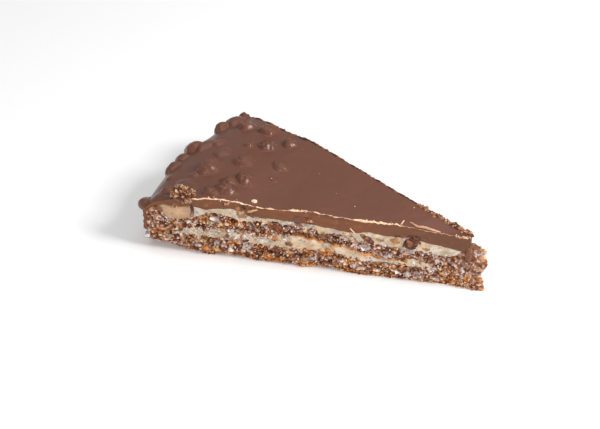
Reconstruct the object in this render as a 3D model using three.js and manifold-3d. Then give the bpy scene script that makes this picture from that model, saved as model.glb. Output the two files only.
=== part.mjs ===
// A wedge-shaped slice of layered toffee tart, lying on its flat base.
// Two layers of crushed nut sponge and two layers of cream lie under a coat of milk chocolate.
// The coat covers the top and the round outer rim, and hides lumps of toffee near the rim.
// Broken toffee pieces show in the front cut.  Millimetres, +Z up.
// The tip points along +X, the rim lies towards -X, and the front cut faces -Y.
import * as THREE from 'three';
import { mergeVertices } from 'three/addons/utils/BufferGeometryUtils.js';
import Module from 'manifold-3d';

const wasm = await Module();
wasm.setup();

// ---------------------------------------------------------------- driving dimensions
const RADIUS = 120; // from the tip of the chocolate to the rim of the tart
const HALF_ANGLE = THREE.MathUtils.degToRad(17.5); // half the angle between the two cuts
const TOP = 24.6; // height of the flat chocolate top above the base
const SHOULDER_RUN = 23; // how far in from the rim the top starts to fall
const SHOULDER_DROP = 9.3; // how far it falls before the wall goes straight down
const COAT_WALL = 1.2; // thickness of the chocolate on the rim
const HEM = 3.6; // height above the base at which the chocolate on the rim ends
const GAP = 0.3; // clearance between neighbouring solids
const TIP = new THREE.Vector3(57, 0, 0); // tip of the chocolate, from the middle of the base

// Heights of the layer boundaries above the base, every STATION_STEP from the tip to the rim.
const STATION_STEP = 6;
const LOWER_NUT_TOP = [
  5.5, 5.5, 6.2, 6.4, 6.8, 6.8, 6.5, 6.6, 8.0, 8.6, 7.7,
  7.6, 7.7, 7.3, 9.2, 8.6, 8.2, 8.4, 8.3, 8.4, 8.4,
];
const LOWER_CREAM_TOP = [
  8.2, 8.2, 8.3, 9.7, 8.6, 8.9, 9.5, 11.4, 12.0, 13.1, 13.5,
  13.2, 12.2, 11.7, 12.3, 12.1, 11.6, 11.5, 10.8, 10.4, 10.4,
];
const UPPER_NUT_TOP = [
  13.3, 13.1, 13.9, 13.5, 14.0, 14.5, 15.0, 15.8, 16.3, 17.0, 17.8,
  17.8, 18.3, 17.7, 17.2, 18.6, 18.4, 15.7, 14.8, 15.1, 15.0,
];
const COAT_UNDERSIDE = [
  16.8, 17.3, 17.9, 18.6, 19.1, 19.1, 19.6, 18.4, 19.0, 19.7, 19.8,
  20.1, 20.3, 19.6, 22.0, 21.8, 20.7, 21.3, 20.8, 20.9, 20.9,
];

// The creams thin out before the tip and before the rim.
const LOWER_CREAM_SPAN = [9, 106];
const UPPER_CREAM_SPAN = [1.5, 114.5];
const CREAM_TAPER = 5; // length of the thinning

// How far the lower front edge has crumbled away at the same stations, most at the rim.
const FRONT_EDGE = [
  0.0, 0.1, 0.5, 0.5, 0.1, 0.3, 0.0, 0.1, 1.0, 1.2, 0.2,
  0.5, 0.3, 0.0, 0.9, 0.9, 0.1, 1.0, 1.7, 3.3, 5.0,
];
const EDGE_SHIFT = { inward: 0.8, upward: 0.6 }; // for each millimetre of it

// How far each layer sticks out past the tip, and how wide its blunt nose is.
const NUT_NOSE = { reach: 5.2, halfWidth: 2.9, offset: 2.5 };
const COAT_NOSE = { reach: 1.6, halfWidth: 1.3, offset: 0 };
const NOSE_LENGTH = 14; // the nose blends into the straight cuts over this length
const NOSE_BULGE = 1; // roundness of the nose seen from above

// Swells of the chocolate top along the front cut: place, half length, rise.
const FRONT_SWELLS = [
  { at: 89, half: 15, rise: 1.5 },
  { at: 57, half: 13, rise: 1 },
  { at: 6, half: 21, rise: -1.4 },
];
// The whole tart sags a little towards the back corner of the rim.
const BACK_SAG = { at: 103, half: 22, fall: 2.6 };

// Lumps of toffee under the chocolate: distance from the tip measured over the top,
// turn from the middle of the slice (degrees, positive towards the back), width and rise.
const LUMPS = [
  { along: 119.6, turn: 17, width: 4.4, rise: 2.6 },
  { along: 119, turn: 10.7, width: 7, rise: 3 },
  { along: 118.3, turn: 13.8, width: 11, rise: 2.5 },
  { along: 109, turn: 13, width: 6.6, rise: 2.5 },
  { along: 118.6, turn: 1.8, width: 7.2, rise: 2.9 },
  { along: 113.5, turn: 2.8, width: 8, rise: 1.6 },
  { along: 119.7, turn: -1.6, width: 7.6, rise: 2 },
  { along: 119.5, turn: -4.9, width: 6.6, rise: 2.1 },
  { along: 115.5, turn: -9.4, width: 5, rise: 0.7 },
  { along: 113.4, turn: -14.2, width: 4.4, rise: 1 },
  { along: 122.3, turn: -15.6, width: 6.4, rise: 3.3 },
  { along: 102, turn: -5.8, width: 9.2, rise: 3 },
  { along: 92.2, turn: -0.2, width: 8.2, rise: 1.9 },
  { along: 97, turn: 6.5, width: 3.8, rise: 1.4 },
  { along: 85.8, turn: -7.6, width: 7, rise: 1.8 },
  { along: 91.2, turn: -10, width: 5.8, rise: 1.7 },
  { along: 90, turn: -13.4, width: 8.6, rise: 2 },
  { along: 95.2, turn: -15, width: 5.4, rise: 1.4 },
  { along: 106, turn: -8.8, width: 4, rise: 0.6 },
  { along: 99.2, turn: 14.5, width: 7.8, rise: 2.6 },
  { along: 91.2, turn: 8.5, width: 7.8, rise: 2.3 },
  { along: 85.8, turn: 13, width: 6.2, rise: 2 },
  { along: 79, turn: 2.6, width: 6.8, rise: 1.4 },
  { along: 77.5, turn: -4, width: 3.4, rise: 0.6 },
  { along: 109, turn: 4, width: 5, rise: 1 },
  { along: 103, turn: 0.8, width: 7, rise: 1 },
  { along: 115, turn: -16, width: 6.5, rise: 0.8 },
  { along: 106.5, turn: -13.4, width: 9, rise: 0.9 },
];

// Broken toffee that shows in the front cut: distance from the tip and height of its middle,
// how deep in the slice the middle lies, size (along the cut, into the slice, up) and tilt.
const TOFFEE = [
  { name: 'toffee_nugget', along: 105, up: 24.8, deep: 2.2, size: [9.8, 6.8, 5.6], tilt: 8 },
  { name: 'toffee_ball', along: 19.9, up: 17, deep: 1.2, size: [6.2, 4.4, 7], tilt: 22 },
  { name: 'toffee_stick', along: 35.8, up: 16.2, deep: 0.6, size: [7.4, 2.8, 2.5], tilt: 33 },
  { name: 'toffee_shard', along: 78.8, up: 22.9, deep: 0.9, size: [4.8, 3.2, 2.4], tilt: -35 },
  { name: 'toffee_crumb', along: 58, up: 22.1, deep: 0.9, size: [5, 3, 2.2], tilt: 22 },
];

// The thin chocolate shaving that lies on the top near the tip (from the tip, and sideways).
const SHAVING_PATH = [[20.8, -3.9], [17.4, -4.6], [15, -3.5], [11.6, -3.2], [9, -3]];
const SHAVING_SIZE = { width: 1.3, height: 0.9 };

// ---------------------------------------------------------------- small helpers
const { lerp, smoothstep, clamp } = THREE.MathUtils;

// Seeded random numbers between -1 and 1.
function randomFrom(seed) {
  let state = seed;
  return () => {
    state = (Math.imul(state, 1664525) + 1013904223) >>> 0;
    return (state / 4294967296) * 2 - 1;
  };
}

// A smooth curve through the heights of one layer boundary.
function heightAlong(heights, along) {
  const place = clamp(along / STATION_STEP, 0, heights.length - 1);
  const left = Math.min(Math.floor(place), heights.length - 2);
  const share = place - left;
  const before = heights[Math.max(left - 1, 0)];
  const after = heights[Math.min(left + 2, heights.length - 1)];
  const [start, end] = [heights[left], heights[left + 1]];
  const bend = share * (1 - share) / 2;
  return lerp(start, end, share)
    + bend * ((1 - share) * (2 * start - end - before) + share * (2 * end - start - after));
}

// ---------------------------------------------------------------- the wedge seen from above
// Half the width at a distance from the tip: straight cuts that end in a blunt nose.
function halfWidth(along, nose) {
  const straight = Math.max(along, 0) * Math.sin(HALF_ANGLE);
  const swell = along > 3
    ? 1 - smoothstep(along, 3, NOSE_LENGTH)
    : Math.sqrt(1 - (0.92 * (3 - along) / (nose.reach + 3)) ** 2);
  return Math.hypot(straight, nose.halfWidth * swell);
}

// A point of the slice: along from the tip, across from -1 (front cut) to 1 (back cut).
function planPoint(along, across, nose) {
  const turn = across * HALF_ANGLE;
  const side = halfWidth(along, nose) * Math.sin(turn) / Math.sin(HALF_ANGLE);
  const drift = nose.offset * (1 - smoothstep(along, 0, NOSE_LENGTH));
  const bulge = NOSE_BULGE * (1 - across ** 2) * (1 - smoothstep(along, -nose.reach, 0));
  const x = along > 0 ? -along * Math.cos(turn) : -along;
  return new THREE.Vector3(x + bulge, side + drift, 0);
}

// ---------------------------------------------------------------- the boundaries between layers
// Height of the filling under the shoulder of the tart, at a distance from the tip:
// a quarter ellipse that keeps inside the outside of the coat.
function fillingShoulder(along) {
  const share = clamp((along - (RADIUS - SHOULDER_RUN)) / (SHOULDER_RUN - COAT_WALL + 0.6), 0, 1);
  return TOP - 1.7 - (SHOULDER_DROP - 1.2) * (1 - Math.sqrt(1 - share ** 2));
}

// A slow wave that grows from the front cut to the back cut.
function backWave(along, across, size, length, start) {
  return size * (across + 1) / 2 * Math.sin(2 * Math.PI * along / length + start);
}

// 1 along a cream layer, falling to 0 just past its ends.
function creamShare(along, [start, end]) {
  const reach = CREAM_TAPER * 0.4;
  return smoothstep(along, start - reach, start + CREAM_TAPER)
    * (1 - smoothstep(along, end - CREAM_TAPER, end + reach));
}

function sag(along, across) {
  const near = Math.max(0, 1 - ((along - BACK_SAG.at) / BACK_SAG.half) ** 2);
  return BACK_SAG.fall * near * ((1 + across) / 2) ** 4;
}

function coatUnderside(along, across) {
  const height = heightAlong(COAT_UNDERSIDE, along) + backWave(along, across, 0.7, 43, 1);
  return Math.min(height, fillingShoulder(along)) - sag(along, across);
}

function lowerNutTop(along, across) {
  return heightAlong(LOWER_NUT_TOP, along) + backWave(along, across, 0.8, 37, 2);
}

function upperNutBottom(along, across) {
  const cream = heightAlong(LOWER_CREAM_TOP, along) - heightAlong(LOWER_NUT_TOP, along)
    + backWave(along, across, 0.6, 51, 4);
  return lowerNutTop(along, across) + GAP + cream * creamShare(along, LOWER_CREAM_SPAN);
}

function upperNutTop(along, across) {
  const cream = heightAlong(COAT_UNDERSIDE, along) - heightAlong(UPPER_NUT_TOP, along)
    + backWave(along, across, 0.5, 61, 3);
  const share = creamShare(along, UPPER_CREAM_SPAN);
  return coatUnderside(along, across) - GAP - Math.max(cream, 1.2) * share;
}

// ---------------------------------------------------------------- layers of the filling
// A unit box whose corners and grid points are moved by a function of their place in the grid,
// counted from the tip to the rim, from the front to the back and from the base up.
function shapedBox(stepsAlong, stepsAcross, stepsUp, place) {
  const box = new THREE.BoxGeometry(1, 1, 1, stepsAlong, stepsAcross, stepsUp);
  box.deleteAttribute('normal');
  box.deleteAttribute('uv');
  const geometry = mergeVertices(box, 1e-5);
  const position = geometry.getAttribute('position');
  const point = new THREE.Vector3();
  for (let index = 0; index < position.count; index += 1) {
    point.fromBufferAttribute(position, index).addScalar(0.5);
    const steps = [(1 - point.x) * stepsAlong, point.y * stepsAcross, point.z * stepsUp].map(Math.round);
    point.copy(place(...steps));
    position.setXYZ(index, point.x, point.y, point.z);
  }
  return geometry;
}

// Where a layer has its grid points: at whole steps between its two ends, so that neighbouring
// layers bend at the same places.
const LAYER_STEP = 2.5;

function stationsOf([start, end]) {
  const stations = [start];
  for (let along = Math.ceil(start / LAYER_STEP) * LAYER_STEP; along < end; along += LAYER_STEP) {
    if (Math.min(along - start, end - along) > LAYER_STEP * 0.15) {
      stations.push(along);
    }
  }
  return [...stations, end];
}

// One layer between two boundaries, with crumbly walls on both cuts, the nose and the rim.
function layer({ span, nose, tipReach, bottom, top, crumble, recess, shares, foot, seed }) {
  const stations = stationsOf(span);
  const stepsAlong = stations.length - 1;
  const stepsAcross = 4;
  const stepsUp = shares.length - 1;
  const random = randomFrom(seed);
  return shapedBox(stepsAlong, stepsAcross, stepsUp, (i, j, k) => {
    const along = stations[i];
    const across = 2 * j / stepsAcross - 1;
    const point = planPoint(along, across, nose);
    const low = bottom(along, across);
    point.z = lerp(low, top(along, across), shares[k]);
    const relief = Math.min(1, halfWidth(along, nose) / 6) * (random() * crumble - recess);
    if (Math.abs(across) === 1) {
      point.x += relief * Math.sin(HALF_ANGLE);
      point.y += relief * Math.cos(HALF_ANGLE) * across;
    }
    if (i === 0) {
      point.x += tipReach[k] + random() * crumble / 2;
    }
    if (i === stepsAlong && foot > 0 && k <= 1) {
      point.x -= foot;
    }
    if (low === 0 && k === 0 && (Math.abs(across) === 1 || i === 0)) {
      point.z += Math.max(0, random() * 0.8);
    }
    if (low === 0 && k <= 1 && across === -1) {
      const crumbled = Math.max(0, heightAlong(FRONT_EDGE, along)) * (k === 0 ? 1 : 0.5);
      point.y += crumbled * EDGE_SHIFT.inward;
      point.z += k === 0 ? crumbled * EDGE_SHIFT.upward : 0;
    }
    return point;
  });
}

const INSIDE_RADIUS = RADIUS - COAT_WALL - GAP - 0.1;
const EVEN_SHARES = [0, 0.33, 0.67, 1];

const lowerNut = layer({
  span: [-NUT_NOSE.reach, INSIDE_RADIUS],
  nose: NUT_NOSE,
  tipReach: [1, 0.6, 0.4, -0.4, -1.2],
  bottom: () => 0,
  top: lowerNutTop,
  crumble: 0.8,
  recess: 0,
  shares: [0, 0.27, 0.34, 0.67, 1],
  foot: COAT_WALL - 0.4,
  seed: 11,
});

const lowerCream = layer({
  span: LOWER_CREAM_SPAN,
  nose: NUT_NOSE,
  tipReach: [0, 0, 0],
  bottom: (along, across) => lowerNutTop(along, across) + GAP,
  top: (along, across) => upperNutBottom(along, across) - GAP,
  crumble: 0.3,
  recess: 0.3,
  shares: [0, 0.5, 1],
  foot: 0,
  seed: 23,
});

const upperNut = layer({
  span: [-NUT_NOSE.reach, INSIDE_RADIUS],
  nose: NUT_NOSE,
  tipReach: [-1.4, 0.4, 1.5, -0.6],
  bottom: upperNutBottom,
  top: upperNutTop,
  crumble: 0.8,
  recess: 0,
  shares: EVEN_SHARES,
  foot: 0,
  seed: 37,
});

const upperCream = layer({
  span: UPPER_CREAM_SPAN,
  nose: COAT_NOSE,
  tipReach: [0, 0, 0],
  bottom: (along, across) => upperNutTop(along, across) + GAP,
  top: (along, across) => coatUnderside(along, across) - GAP,
  crumble: 0.3,
  recess: 0.3,
  shares: [0, 0.5, 1],
  foot: 0,
  seed: 41,
});

// ---------------------------------------------------------------- the chocolate coat
const FLAT_RUN = RADIUS - SHOULDER_RUN;

// The outer profile of the tart by distance over the top: flat, shoulder, then wall.
// Gives the distance from the tip in plan, the height and the outward direction.
function buildShoulderTable(count) {
  const table = [{ over: 0, out: 0, down: 0, slope: 0 }];
  for (let index = 1; index <= count; index += 1) {
    const slope = (index / count) * Math.PI / 2;
    const out = SHOULDER_RUN * Math.sin(slope);
    const down = SHOULDER_DROP * (1 - Math.cos(slope));
    const last = table[index - 1];
    table.push({ over: last.over + Math.hypot(out - last.out, down - last.down), out, down, slope });
  }
  return table;
}

const SHOULDER_TABLE = buildShoulderTable(200);
const RIM_EDGE = FLAT_RUN + SHOULDER_TABLE[200].over;

function profile(over) {
  if (over <= FLAT_RUN) {
    return { along: over, height: TOP, outward: 0, upward: 1 };
  }
  if (over >= RIM_EDGE) {
    const height = TOP - SHOULDER_DROP - (over - RIM_EDGE);
    return { along: RADIUS, height, outward: 1, upward: 0 };
  }
  const row = SHOULDER_TABLE.find((entry) => entry.over >= over - FLAT_RUN);
  const outward = SHOULDER_DROP * Math.sin(row.slope);
  const upward = SHOULDER_RUN * Math.cos(row.slope);
  const length = Math.hypot(outward, upward);
  return {
    along: FLAT_RUN + row.out,
    height: TOP - row.down,
    outward: outward / length,
    upward: upward / length,
  };
}

function coatPoint({ along, height }, across) {
  const point = planPoint(along, across, COAT_NOSE);
  point.z = height;
  return point;
}

const LUMP_MIDDLES = LUMPS.map(({ along, turn, width, rise }) => ({
  middle: coatPoint(profile(along), THREE.MathUtils.degToRad(turn) / HALF_ANGLE),
  radius: width / 2,
  rise,
}));

// How far the chocolate bulges out over the toffee lumps at a point of the plain surface.
function lumpRise(point) {
  let highest = 0;
  for (const { middle, radius, rise } of LUMP_MIDDLES) {
    const near = 1 - (middle.distanceTo(point) / radius) ** 2;
    if (near > 0) {
      highest = Math.max(highest, rise * near ** 0.7);
    }
  }
  return highest;
}

function topSwell(along, across) {
  let rise = 0;
  for (const swell of FRONT_SWELLS) {
    const near = 1 - ((along - swell.at) / swell.half) ** 2;
    rise += near > 0 ? swell.rise * near ** 2 : 0;
  }
  return rise * ((1 - across) / 2) ** 1.5 - sag(along, across);
}

// The outside of the whole tart, fine where the lumps are.
const COARSE_STEPS = 9;
const FINE_STEPS = 29;
const FINE_START = 68;
const WALL_STEPS = 5;
const COAT_STEPS_ACROSS = 32;

function coatOutside() {
  const stepsAlong = COARSE_STEPS + FINE_STEPS;
  const random = randomFrom(53);
  return shapedBox(stepsAlong, COAT_STEPS_ACROSS, WALL_STEPS, (i, j, k) => {
    const over = i <= COARSE_STEPS
      ? lerp(-COAT_NOSE.reach, FINE_START, i / COARSE_STEPS)
      : lerp(FINE_START, RIM_EDGE, (i - COARSE_STEPS) / FINE_STEPS);
    const across = 2 * j / COAT_STEPS_ACROSS - 1;
    const hem = HEM + 0.5 * Math.sin(across * 9) + 0.4 * Math.sin(across * 23 + 1);
    const surface = profile(over);
    const share = k / WALL_STEPS;
    const plain = coatPoint({ along: surface.along, height: lerp(hem, surface.height, share) }, across);
    const isTop = k === WALL_STEPS;
    const isWall = i === stepsAlong;
    if (!isTop && !isWall) {
      return plain;
    }
    const bulge = lumpRise(plain) * (k === 0 ? 0.3 : 1) + random() * 0.06;
    const turn = across * HALF_ANGLE;
    const outward = isWall ? 1 : surface.outward;
    const upward = isWall ? 0 : surface.upward;
    plain.x -= bulge * outward * Math.cos(turn);
    plain.y += bulge * outward * Math.sin(turn);
    plain.z += bulge * upward + (isTop ? topSwell(surface.along, across) * surface.upward : 0);
    return plain;
  });
}

// Everything below the coat: the filling, carried on past both cuts, the tip and the base.
const CORE_OVERHANG = 4;

function coreInside() {
  const stations = [...stationsOf([-12, INSIDE_RADIUS]), RADIUS - COAT_WALL];
  const stepsAlong = stations.length - 1;
  const stepsAcross = 6;
  return shapedBox(stepsAlong, stepsAcross, 1, (i, j, k) => {
    const along = stations[i];
    const side = 2 * j / stepsAcross - 1;
    const reach = Math.max(along, 4);
    const turn = side * (HALF_ANGLE + CORE_OVERHANG / reach);
    const straight = new THREE.Vector3(-along, side * (Math.max(along, 0) * Math.sin(HALF_ANGLE) + 5), 0);
    const round = new THREE.Vector3(-along * Math.cos(turn), along * Math.sin(turn), 0);
    const point = straight.lerp(round, smoothstep(along, 20, 50));
    const across = clamp(turn / HALF_ANGLE, -1, 1);
    point.z = k === 0 ? -10 : coatUnderside(Math.max(along, 0), across);
    return point;
  });
}

// ---------------------------------------------------------------- loose and broken pieces
// A rough rounded piece, with each corner moved a little in or out.
function roughPiece(size, detail, roughness, seed, growth = 0) {
  const ball = new THREE.IcosahedronGeometry(1, detail);
  ball.deleteAttribute('normal');
  ball.deleteAttribute('uv');
  const geometry = mergeVertices(ball, 1e-4);
  const position = geometry.getAttribute('position');
  const random = randomFrom(seed);
  const corner = new THREE.Vector3();
  const radii = new THREE.Vector3(...size).multiplyScalar(0.5).addScalar(growth);
  for (let index = 0; index < position.count; index += 1) {
    corner.fromBufferAttribute(position, index).multiplyScalar(1 + roughness * random());
    corner.multiply(radii);
    position.setXYZ(index, corner.x, corner.y, corner.z);
  }
  return geometry;
}

// Directions at the front cut: towards the tip, into the slice, up.
const CUT_BASIS = new THREE.Matrix4().makeBasis(
  new THREE.Vector3(Math.cos(HALF_ANGLE), Math.sin(HALF_ANGLE), 0),
  new THREE.Vector3(-Math.sin(HALF_ANGLE), Math.cos(HALF_ANGLE), 0),
  new THREE.Vector3(0, 0, 1),
);

function toffeePiece({ along, up, deep, size, tilt }, seed, growth) {
  const geometry = roughPiece(size, 2, 0.12, seed, growth);
  geometry.rotateY(THREE.MathUtils.degToRad(tilt));
  geometry.translate(-along, deep, up);
  return geometry.applyMatrix4(CUT_BASIS);
}

// The shaving: a thin strip laid along a curved path on the chocolate.
function shaving() {
  const points = SHAVING_PATH.map(([along, side]) => {
    const height = TOP + topSwell(along, -0.7) + SHAVING_SIZE.height * 0.2;
    return new THREE.Vector3(-along, side, height);
  });
  const outline = new THREE.Shape();
  outline.absellipse(0, 0, SHAVING_SIZE.height / 2, SHAVING_SIZE.width / 2, 0, 2 * Math.PI);
  return new THREE.ExtrudeGeometry(outline, {
    steps: 14,
    curveSegments: 3,
    bevelEnabled: false,
    extrudePath: new THREE.CatmullRomCurve3(points),
  });
}

// A smear of chocolate dragged down over the tip.
function tipSmear(growth) {
  const geometry = roughPiece([3.4, 4.2, 7.5], 2, 0.05, 61, growth);
  geometry.translate(1.1, 0.4, 16.2);
  return geometry;
}

// A pale crumb that lies on the chocolate behind the front edge.
function topCrumb() {
  const geometry = roughPiece([2.3, 1.7, 1.2], 1, 0.12, 67);
  geometry.translate(-75.3, -21.1, TOP + topSwell(78, -0.9) + 0.2);
  return geometry;
}

// ---------------------------------------------------------------- joining and cutting
function solidOf(geometry) {
  const plain = geometry.clone();
  plain.deleteAttribute('normal');
  plain.deleteAttribute('uv');
  const merged = mergeVertices(plain, 1e-4);
  return new wasm.Manifold(new wasm.Mesh({
    numProp: 3,
    vertProperties: new Float32Array(merged.getAttribute('position').array),
    triVerts: new Uint32Array(merged.getIndex().array),
  }));
}

// The largest body of a solid, as a three.js geometry.
function geometryOf(solid) {
  const bodies = solid.decompose().sort((one, other) => other.volume() - one.volume());
  const mesh = bodies[0].getMesh();
  const geometry = new THREE.BufferGeometry();
  geometry.setAttribute('position', new THREE.BufferAttribute(new Float32Array(mesh.vertProperties), 3));
  geometry.setIndex(new THREE.BufferAttribute(new Uint32Array(mesh.triVerts), 1));
  return geometry;
}

const FIRST_TOFFEE_SEED = 71;
const pockets = TOFFEE.map((piece, index) => solidOf(toffeePiece(piece, FIRST_TOFFEE_SEED + index, GAP)));

function withoutPockets(solid) {
  return pockets.reduce((rest, pocket) => rest.subtract(pocket), solid);
}

const coat = withoutPockets(solidOf(coatOutside()).subtract(solidOf(coreInside())))
  .add(solidOf(shaving()))
  .add(solidOf(topCrumb()))
  .add(solidOf(tipSmear(0)));

// ---------------------------------------------------------------- the parts
const slice = new THREE.Group();
slice.position.copy(TIP);

function addPart(name, geometry, color, roughness) {
  geometry.computeVertexNormals();
  const material = new THREE.MeshStandardMaterial({ color, roughness, metalness: 0, flatShading: true });
  const part = new THREE.Mesh(geometry, material);
  part.name = name;
  slice.add(part);
}

const smearPocket = solidOf(tipSmear(GAP));
addPart('lower_nut_layer', lowerNut, 0xa87a50, 0.85);
addPart('lower_cream', lowerCream, 0xd9c8a4, 0.6);
addPart('upper_nut_layer', geometryOf(withoutPockets(solidOf(upperNut)).subtract(smearPocket)), 0x9a6a45, 0.85);
addPart('upper_cream', geometryOf(withoutPockets(solidOf(upperCream)).subtract(smearPocket)), 0xd8c4a0, 0.6);
addPart('chocolate_coat', geometryOf(coat), 0x7a5346, 0.45);
TOFFEE.forEach((piece, index) => {
  addPart(piece.name, toffeePiece(piece, FIRST_TOFFEE_SEED + index, 0), 0x9c6636, 0.5);
});

export default slice;
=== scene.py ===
"""Looks for a slice of toffee tart: crumbly nut sponge, cream, milk chocolate and toffee.

Every length of the slice is in millimetres until mesh_from() writes it in metres, and so is the
camera's place. The floor and the lights are in metres.
The slice is measured from the tip of the chocolate: "along" runs from the tip to the rim and
"across" from -1 on the front cut to 1 on the back cut.
"""

import bpy
import numpy as np
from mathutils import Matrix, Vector


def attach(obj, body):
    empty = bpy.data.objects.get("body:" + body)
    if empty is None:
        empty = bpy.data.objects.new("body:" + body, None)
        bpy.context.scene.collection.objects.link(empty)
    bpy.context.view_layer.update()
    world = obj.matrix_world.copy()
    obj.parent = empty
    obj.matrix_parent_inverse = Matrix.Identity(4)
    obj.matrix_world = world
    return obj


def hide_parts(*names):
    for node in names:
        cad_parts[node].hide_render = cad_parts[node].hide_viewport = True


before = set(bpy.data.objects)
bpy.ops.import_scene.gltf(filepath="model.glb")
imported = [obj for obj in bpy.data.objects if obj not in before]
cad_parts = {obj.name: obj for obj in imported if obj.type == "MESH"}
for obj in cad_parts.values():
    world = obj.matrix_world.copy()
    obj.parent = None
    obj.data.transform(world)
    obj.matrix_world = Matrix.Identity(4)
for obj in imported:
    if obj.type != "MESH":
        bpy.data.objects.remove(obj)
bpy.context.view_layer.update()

MM = 0.001

# ------------------------------------------------------------------ driving dimensions
RADIUS = 120.0
HALF_DEGREES = 17.5
HALF_ANGLE = np.radians(HALF_DEGREES)
TOP = 24.6
SHOULDER_RUN = 23.0
SHOULDER_DROP = 9.3
COAT_WALL = 1.2
HEM = 3.6
TIP = np.array([57.0, 0.0, 0.0])

# Heights of the layer boundaries on the front cut, every 6 mm from the tip.
STATION_STEP = 6.0
LOWER_NUT_TOP = [
    5.5, 5.5, 6.2, 6.4, 6.8, 6.8, 6.5, 6.6, 8.0, 8.6, 7.7,
    7.6, 7.7, 7.3, 9.2, 8.6, 8.2, 8.4, 8.3, 8.4, 8.4,
]
LOWER_CREAM_TOP = [
    8.2, 8.2, 8.3, 9.7, 8.6, 8.9, 9.5, 11.4, 12.0, 13.1, 13.5,
    13.2, 12.2, 11.7, 12.3, 12.1, 11.6, 11.5, 10.8, 10.4, 10.4,
]
UPPER_NUT_TOP = [
    13.3, 13.1, 13.9, 13.5, 14.0, 14.5, 15.0, 15.8, 16.3, 17.0, 17.8,
    17.8, 18.3, 17.7, 17.2, 18.6, 18.4, 15.7, 14.8, 15.1, 15.0,
]
COAT_UNDERSIDE = [
    16.8, 17.3, 17.9, 18.6, 19.1, 19.1, 19.6, 18.4, 19.0, 19.7, 19.8,
    20.1, 20.3, 19.6, 22.0, 21.8, 20.7, 21.3, 20.8, 20.9, 20.9,
]
# How far the lower front edge is broken away at the same stations, and how deep the break reaches.
BREAK_DEPTH = 7.0
FRONT_EDGE = [
    0.0, 0.1, 0.5, 0.5, 0.1, 0.3, 0.0, 0.1, 1.0, 1.2, 0.2,
    0.5, 0.3, 0.0, 0.9, 0.9, 0.1, 1.0, 1.7, 3.3, 5.0,
]
# Where the creams start and end along the slice, and over what length they taper.
LOWER_CREAM_SPAN = (9.0, 106.0)
UPPER_CREAM_SPAN = (1.5, 114.5)
CREAM_TAPER = 5.0
# Parts of the cut along the slice: where they start, are full, start to fade and end.
THIN_CREAM = (38, 44, 78, 84)
BRIGHT_PART = (38, 46, 62, 70)

NUT_NOSE = {"reach": 5.2, "half_width": 2.9, "offset": 2.5}
COAT_NOSE = {"reach": 1.6, "half_width": 1.3, "offset": 0.0}
NOSE_START = 3.0
NOSE_LENGTH = 14.0
NOSE_BULGE = 1.0

# Swells of the top along the front cut: place, half length, rise.
FRONT_SWELLS = [(89.0, 15.0, 1.5), (57.0, 13.0, 1.0), (6.0, 21.0, -1.4)]
BACK_SAG = {"at": 103.0, "half": 22.0, "fall": 2.6}

# Toffee lumps under the chocolate: distance over the top, turn in degrees, width, rise, crinkle.
LUMPS = [
    (119.6, 17.0, 4.4, 2.6, 0.0), (119.0, 10.7, 7.0, 3.0, 0.15), (118.3, 13.8, 11.0, 2.5, 0.25),
    (109.0, 13.0, 6.6, 2.5, 0.5), (118.6, 1.8, 7.2, 2.9, 0.2), (113.5, 2.8, 8.0, 1.6, 0.2),
    (119.7, -1.6, 7.6, 2.0, 0.2), (119.5, -4.9, 6.6, 2.1, 0.3), (115.5, -9.4, 5.0, 0.7, 0.2),
    (113.4, -14.2, 4.4, 1.0, 0.6), (122.3, -15.6, 6.4, 3.3, 0.0), (102.0, -5.8, 9.2, 3.0, 0.6),
    (92.2, -0.2, 8.2, 1.9, 0.6), (97.0, 6.5, 3.8, 1.4, 0.4), (85.8, -7.6, 7.0, 1.8, 1.0),
    (91.2, -10.0, 5.8, 1.7, 1.1), (90.0, -13.4, 8.6, 2.0, 1.3), (95.2, -15.0, 5.4, 1.4, 0.8),
    (106.0, -8.8, 4.0, 0.6, 0.2), (99.2, 14.5, 7.8, 2.6, 0.5), (91.2, 8.5, 7.8, 2.3, 1.3),
    (85.8, 13.0, 6.2, 2.0, 0.4), (79.0, 2.6, 6.8, 1.4, 0.6), (77.5, -4.0, 3.4, 0.6, 0.8),
    (109.0, 4.0, 5.0, 1.0, 0.2), (103.0, 0.8, 7.0, 1.0, 0.1), (115.0, -16.0, 6.5, 0.8, 0.1),
    (106.5, -13.4, 9.0, 0.9, 0.1),
]

# Broken toffee in the front cut: along, up, deep, size (along, deep, up) and tilt in degrees.
TOFFEE = {
    "toffee_nugget": (105.0, 24.8, 2.2, (9.8, 6.8, 5.6), 8.0),
    "toffee_ball": (19.9, 17.0, 1.2, (6.2, 4.4, 7.0), 22.0),
    "toffee_stick": (35.8, 16.2, 0.6, (7.4, 2.8, 2.5), 33.0),
    "toffee_shard": (78.8, 22.9, 0.9, (4.8, 3.2, 2.4), -35.0),
    "toffee_crumb": (58.0, 22.1, 0.9, (5.0, 3.0, 2.2), 22.0),
}
# The path of the shaving on the top: along and sideways.
SHAVING_PATH = [(20.8, -3.9), (17.4, -4.6), (15.0, -3.5), (11.6, -3.2), (9.0, -3.0)]

# ------------------------------------------------------------------ colours, as seen in daylight
CHOCOLATE_SKIN = (0.392, 0.233, 0.168)
CHOCOLATE_CUT = (0.428, 0.230, 0.085)
CHOCOLATE_PALE = (0.900, 0.740, 0.610)
SMEARED = (0.500, 0.300, 0.170)
# Creams: its main colour, its clouds, and the caramel blob near the rim.
IVORY = (0.748, 0.666, 0.572)
MILKY = (0.800, 0.757, 0.705)
OLIVE = (0.722, 0.655, 0.540)
PEACH = (0.825, 0.695, 0.555)
BRIGHT_CREAM = (0.870, 0.800, 0.680)
CREAM_STAIN = (0.700, 0.510, 0.360)
BLOB_EDGE = (0.685, 0.545, 0.425)
BLOB_CORE = (0.770, 0.620, 0.490)
BLOB_TOP = (0.520, 0.350, 0.225)
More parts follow.
